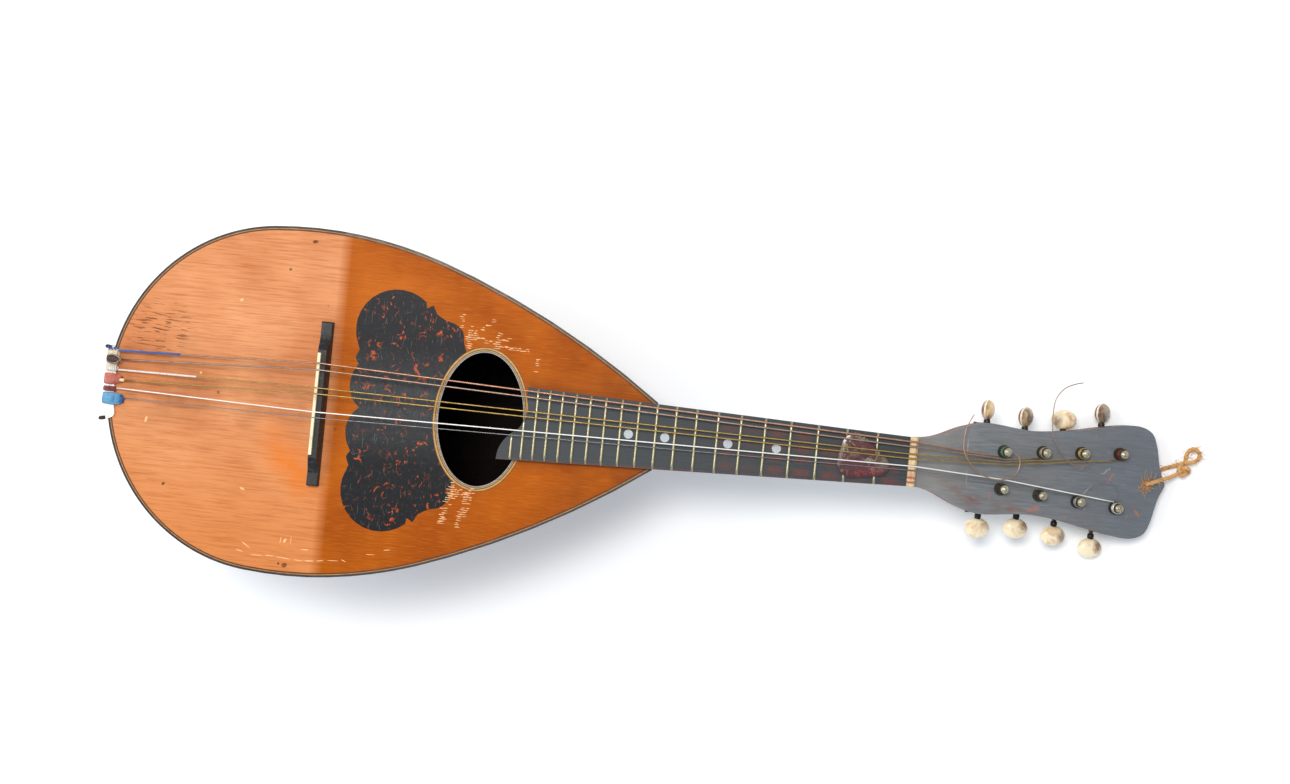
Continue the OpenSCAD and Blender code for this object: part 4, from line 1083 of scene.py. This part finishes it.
def make_plectrum():
    k, colour = shell_look("plectrum_shell", ((98, 38, 42), (54, 20, 28)), ((150, 144, 118), (116, 100, 80)),
                           0.54)
    clear = k.times(k.patch(-14, -2, 60, 8, 5), k.span(k.noise(0.4, 3), 0.35, 0.6, 0.3, 0.8))
    colour = k.mix(clear, colour, (128, 124, 100))
    dots = k.times(k.patch(-22, -7.5, 15, 12, 3.2), k.span(k.cells(1.1), 0.4, 0.25))
    colour = k.blend(dots, 0.2, 0.35, colour, (178, 60, 56))
    look = k.finish(colour, 0.24, None, Coat_Weight=0.5, Coat_Roughness=0.1)
    edge = plectrum_outline()
    middle = sum((corner for corner, _ in PLECTRUM), Vector((0, 0))) / 3
    low = 5.06
    # share of the outline, and height over the fingerboard
    steps = ((0.97, 0), (1.0, 0.12), (1.0, 0.25), (0.992, 0.5), (0.96, 0.66), (0.8, 0.76), (0.5, 0.79),
             (0.05, 0.8))
    rings = [[lay(*(middle + (p - middle) * share), low + high) for p in edge] for share, high in steps]
    piece("plectrum_blade", *skin(rings), look, slot="plectrum_shell", replaces=("plectrum",))


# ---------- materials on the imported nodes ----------


def paint(material, *names):
    for name in names:
        data = nodes[name].data
        data.materials.clear()
        data.materials.append(material)


def stave_look():
    k = Look("rosewood_staves")
    # angle round the bowl's long axis picks the stave
    depth = k.calc("ADD", k.times(k.z, -1 / BOWL_RATIO), -1.8)
    part_count = k.times(k.calc("ARCTAN2", depth, k.y), RIBS / math.pi)
    stave = k.calc("FLOOR", part_count)
    tone = k.add("ShaderNodeTexWhiteNoise", {"noise_dimensions": "1D"}, W=stave).outputs["Value"]
    grain = k.noise(0.5, 5, 0.65, 0.8, k.moved(k.place, (0.06, 1, 1)))
    colour = k.blend(grain, 0.35, 0.68, (128, 66, 34), (56, 26, 18))
    colour = k.blend(tone, 0, 1, colour, (98, 44, 26), 0.5)
    seam = k.away(k.calc("FRACT", part_count), 0.5)
    colour = k.blend(seam, 0.485, 0.495, colour, (30, 16, 12))
    # the bowl's inner faces are painted nearly black as painted shade within the closed body: they face
    # towards a point under the soundhole
    geometry = k.add("ShaderNodeNewGeometry")
    from_middle = k.add("ShaderNodeVectorMath", {"operation": "SUBTRACT"})
    k.feed(from_middle.inputs[0], geometry.outputs["Position"])
    k.feed(from_middle.inputs[1], tuple(lay(-300, 0, -10)))
    facing = k.add("ShaderNodeVectorMath", {"operation": "DOT_PRODUCT"})
    k.feed(facing.inputs[0], geometry.outputs["True Normal"])
    k.feed(facing.inputs[1], from_middle.outputs[0])
    shaded_inside = k.span(facing.outputs["Value"], 0.0004, -0.0004)
    colour = k.mix(shaded_inside, colour, k.blend(grain, 0.35, 0.68, (30, 24, 22), (18, 15, 14)))
    rough = k.span(grain, 0.3, 0.7, 0.28, 0.42)
    return k.finish(colour, rough, grain, 0.2, 0.1, Coat_Weight=0.4, Coat_Roughness=0.15)


def post_look():
    k = Look("tarnished_posts_shaded_shafts", PITCH + HEAD_PITCH)
    blot = k.noise(1.1, 5, 0.65, 0.4)
    top = k.blend(blot, 0.4, 0.6, (206, 198, 172), (128, 116, 90))
    shaft = k.blend(blot, 0.4, 0.6, (110, 104, 92), (56, 50, 44))
    # the shafts are painted darker than the posts' ends: painted shade under the domed tops
    colour = k.blend(k.z, 6.4 + HEAD_START.z, 7.2 + HEAD_START.z, shaft, top)
    return k.finish(colour, k.span(blot, 0.35, 0.65, 0.3, 0.55), blot, 0.3, 0.1, 0.7)


def tail_look():
    k = Look("tail_plate")
    blot = k.noise(0.5, 4, 0.65)
    bright = k.blend(blot, 0.5, 0.72, (250, 248, 240), (178, 170, 150))
    black = k.blend(blot, 0.4, 0.7, (30, 26, 26), (62, 40, 36))
    # the two bent lips outside the plate's ends are black
    from_middle = k.calc("SUBTRACT", k.x, TAIL_C.x)
    reach = k.calc("SQRT", k.calc("ADD", k.calc("POWER", from_middle, 2.0), k.calc("POWER", k.y, 2.0)))
    lips = k.times(k.span(reach, 100.75, 101.0), k.span(k.calc("ABSOLUTE", k.y), 17.6, 18.4))
    colour = k.mix(lips, bright, black)
    return k.finish(colour, k.span(blot, 0.4, 0.7, 0.25, 0.45), blot, 0.15, 0.1, 0.55)


def ebony_look():
    k = Look("ebony_bridge")
    grain = k.noise(1.0, 4, 0.65, 0.3, k.moved(k.place, (1, 0.07, 1)))
    colour = k.blend(grain, 0.35, 0.7, (20, 20, 22), (46, 46, 48))
    dust = k.span(k.noise(0.4, 4, 0.7), 0.55, 0.75, 0, 0.5)
    colour = k.mix(dust, colour, (104, 98, 92))
    return k.finish(colour, k.span(grain, 0.3, 0.7, 0.38, 0.54), grain, 0.3, 0.12, Specular_IOR_Level=0.35)


def pearl_look():
    k = Look("pearl")
    swirl = k.noise(0.9, 4, 0.6, 2.5)
    colour = k.blend(swirl, 0.35, 0.65, (208, 214, 216), (158, 168, 176))
    return k.finish(colour, 0.25, swirl, 0.1, 0.05, Coat_Weight=0.4, Coat_Roughness=0.1)


def nut_look():
    k, colour, fine = bone_look("nut_bone", (226, 192, 134), (170, 104, 74), 0.65)
    for y, shade in ((11.4, (140, 92, 70)), (8.6, (110, 130, 96)), (4.4, (134, 84, 70)), (1.8, (134, 84, 70)),
                     (-2.4, (150, 90, 80)), (-4.8, (150, 74, 62)), (-9, (176, 84, 66)),
                     (-11.6, (170, 84, 64))):
        line = k.span(k.away(k.y, y), 1.1, 0.3)
        colour = k.mix(k.times(line, 0.75), colour, shade)
    return k.finish(colour, 0.42, fine, 0.15)


def paint_nodes():
    paint(soundboard_look(), "soundboard")
    paint(plain_wood("edge_black", (22, 21, 22), (44, 42, 42), 0.38, 0.9, (70, 60, 52)), "edge_binding")
    paint(pickguard_look(), "pickguard")
    paint(stave_look(), "bowl_ribs")
    paint(plain_wood("clasp_wood", (96, 44, 26), (54, 24, 17), 0.36, 0.6, (128, 76, 44)), "end_clasp")
    # the blocks, linings and braces within the body are painted dark brown as painted shade, darker than bare
    # spruce under light
    paint(plain_wood("shaded_bare_spruce", (92, 68, 44), (62, 44, 28), 0.75, 1.0, (44, 32, 22)),
          "end_blocks", "linings", "braces")
    paint(plain_wood("neck_wood", (58, 46, 42), (36, 28, 27), 0.4, 0.7, (92, 54, 42)), "neck")
    paint(head_look(), "headstock")
    paint(fingerboard_look(), "fingerboard")
    paint(pearl_look(), "position_dots")
    paint(nut_look(), "nut")
    paint(ebony_look(), "bridge")
    k, colour, fine = bone_look("saddle_bone", (240, 222, 178), (170, 140, 96), 0.6)
    paint(k.finish(colour, 0.4, fine, 0.15), "saddle")
    paint(tail_look(), "tailpiece")
    paint(metal_look("dull_steel", (92, 88, 84), (44, 40, 38), 0.5, 0.7, 0.8),
          "tuner_plate_bass", "tuner_plate_treble")
    paint(metal_look("screw_steel", (150, 142, 122), (70, 62, 54), 0.45, 1.4, 0.7), "screws")
    paint(metal_look("ferrule_metal", (100, 96, 84), (46, 48, 42), 0.5, 1.2, 0.8), "post_ferrules")
    tuner_looks = {"post": post_look(),
                   "gear": metal_look("gear_brass", (190, 152, 84), (104, 78, 44), 0.4, 0.9, 0.7),
                   "worm": metal_look("worm_steel", (96, 90, 84), (40, 36, 34), 0.42, 1.0, 0.8)}
    for kind, material in tuner_looks.items():
        paint(material, *(f"{kind}_{side}_{i + 1}" for side, i in TUNERS))


def make_floor():
    mesh = bpy.data.meshes.new("floor")
    reach = 8
    corners = [(-reach, -reach, 0), (reach, -reach, 0), (reach, reach, 0), (-reach, reach, 0)]
    mesh.from_pydata(corners, [], [(0, 1, 2, 3)])
    mesh.materials.append(floor_look())
    floor = bpy.data.objects.new("floor", mesh)
    bpy.context.scene.collection.objects.link(floor)


# ---------- the scene ----------

make_camera()
make_twine()
make_light()
make_floor()
make_trim()
make_torn_grain()
make_lips()
make_frets()
make_strings()
make_buttons()
make_windings()
make_scraps()
make_plectrum()
paint_nodes()
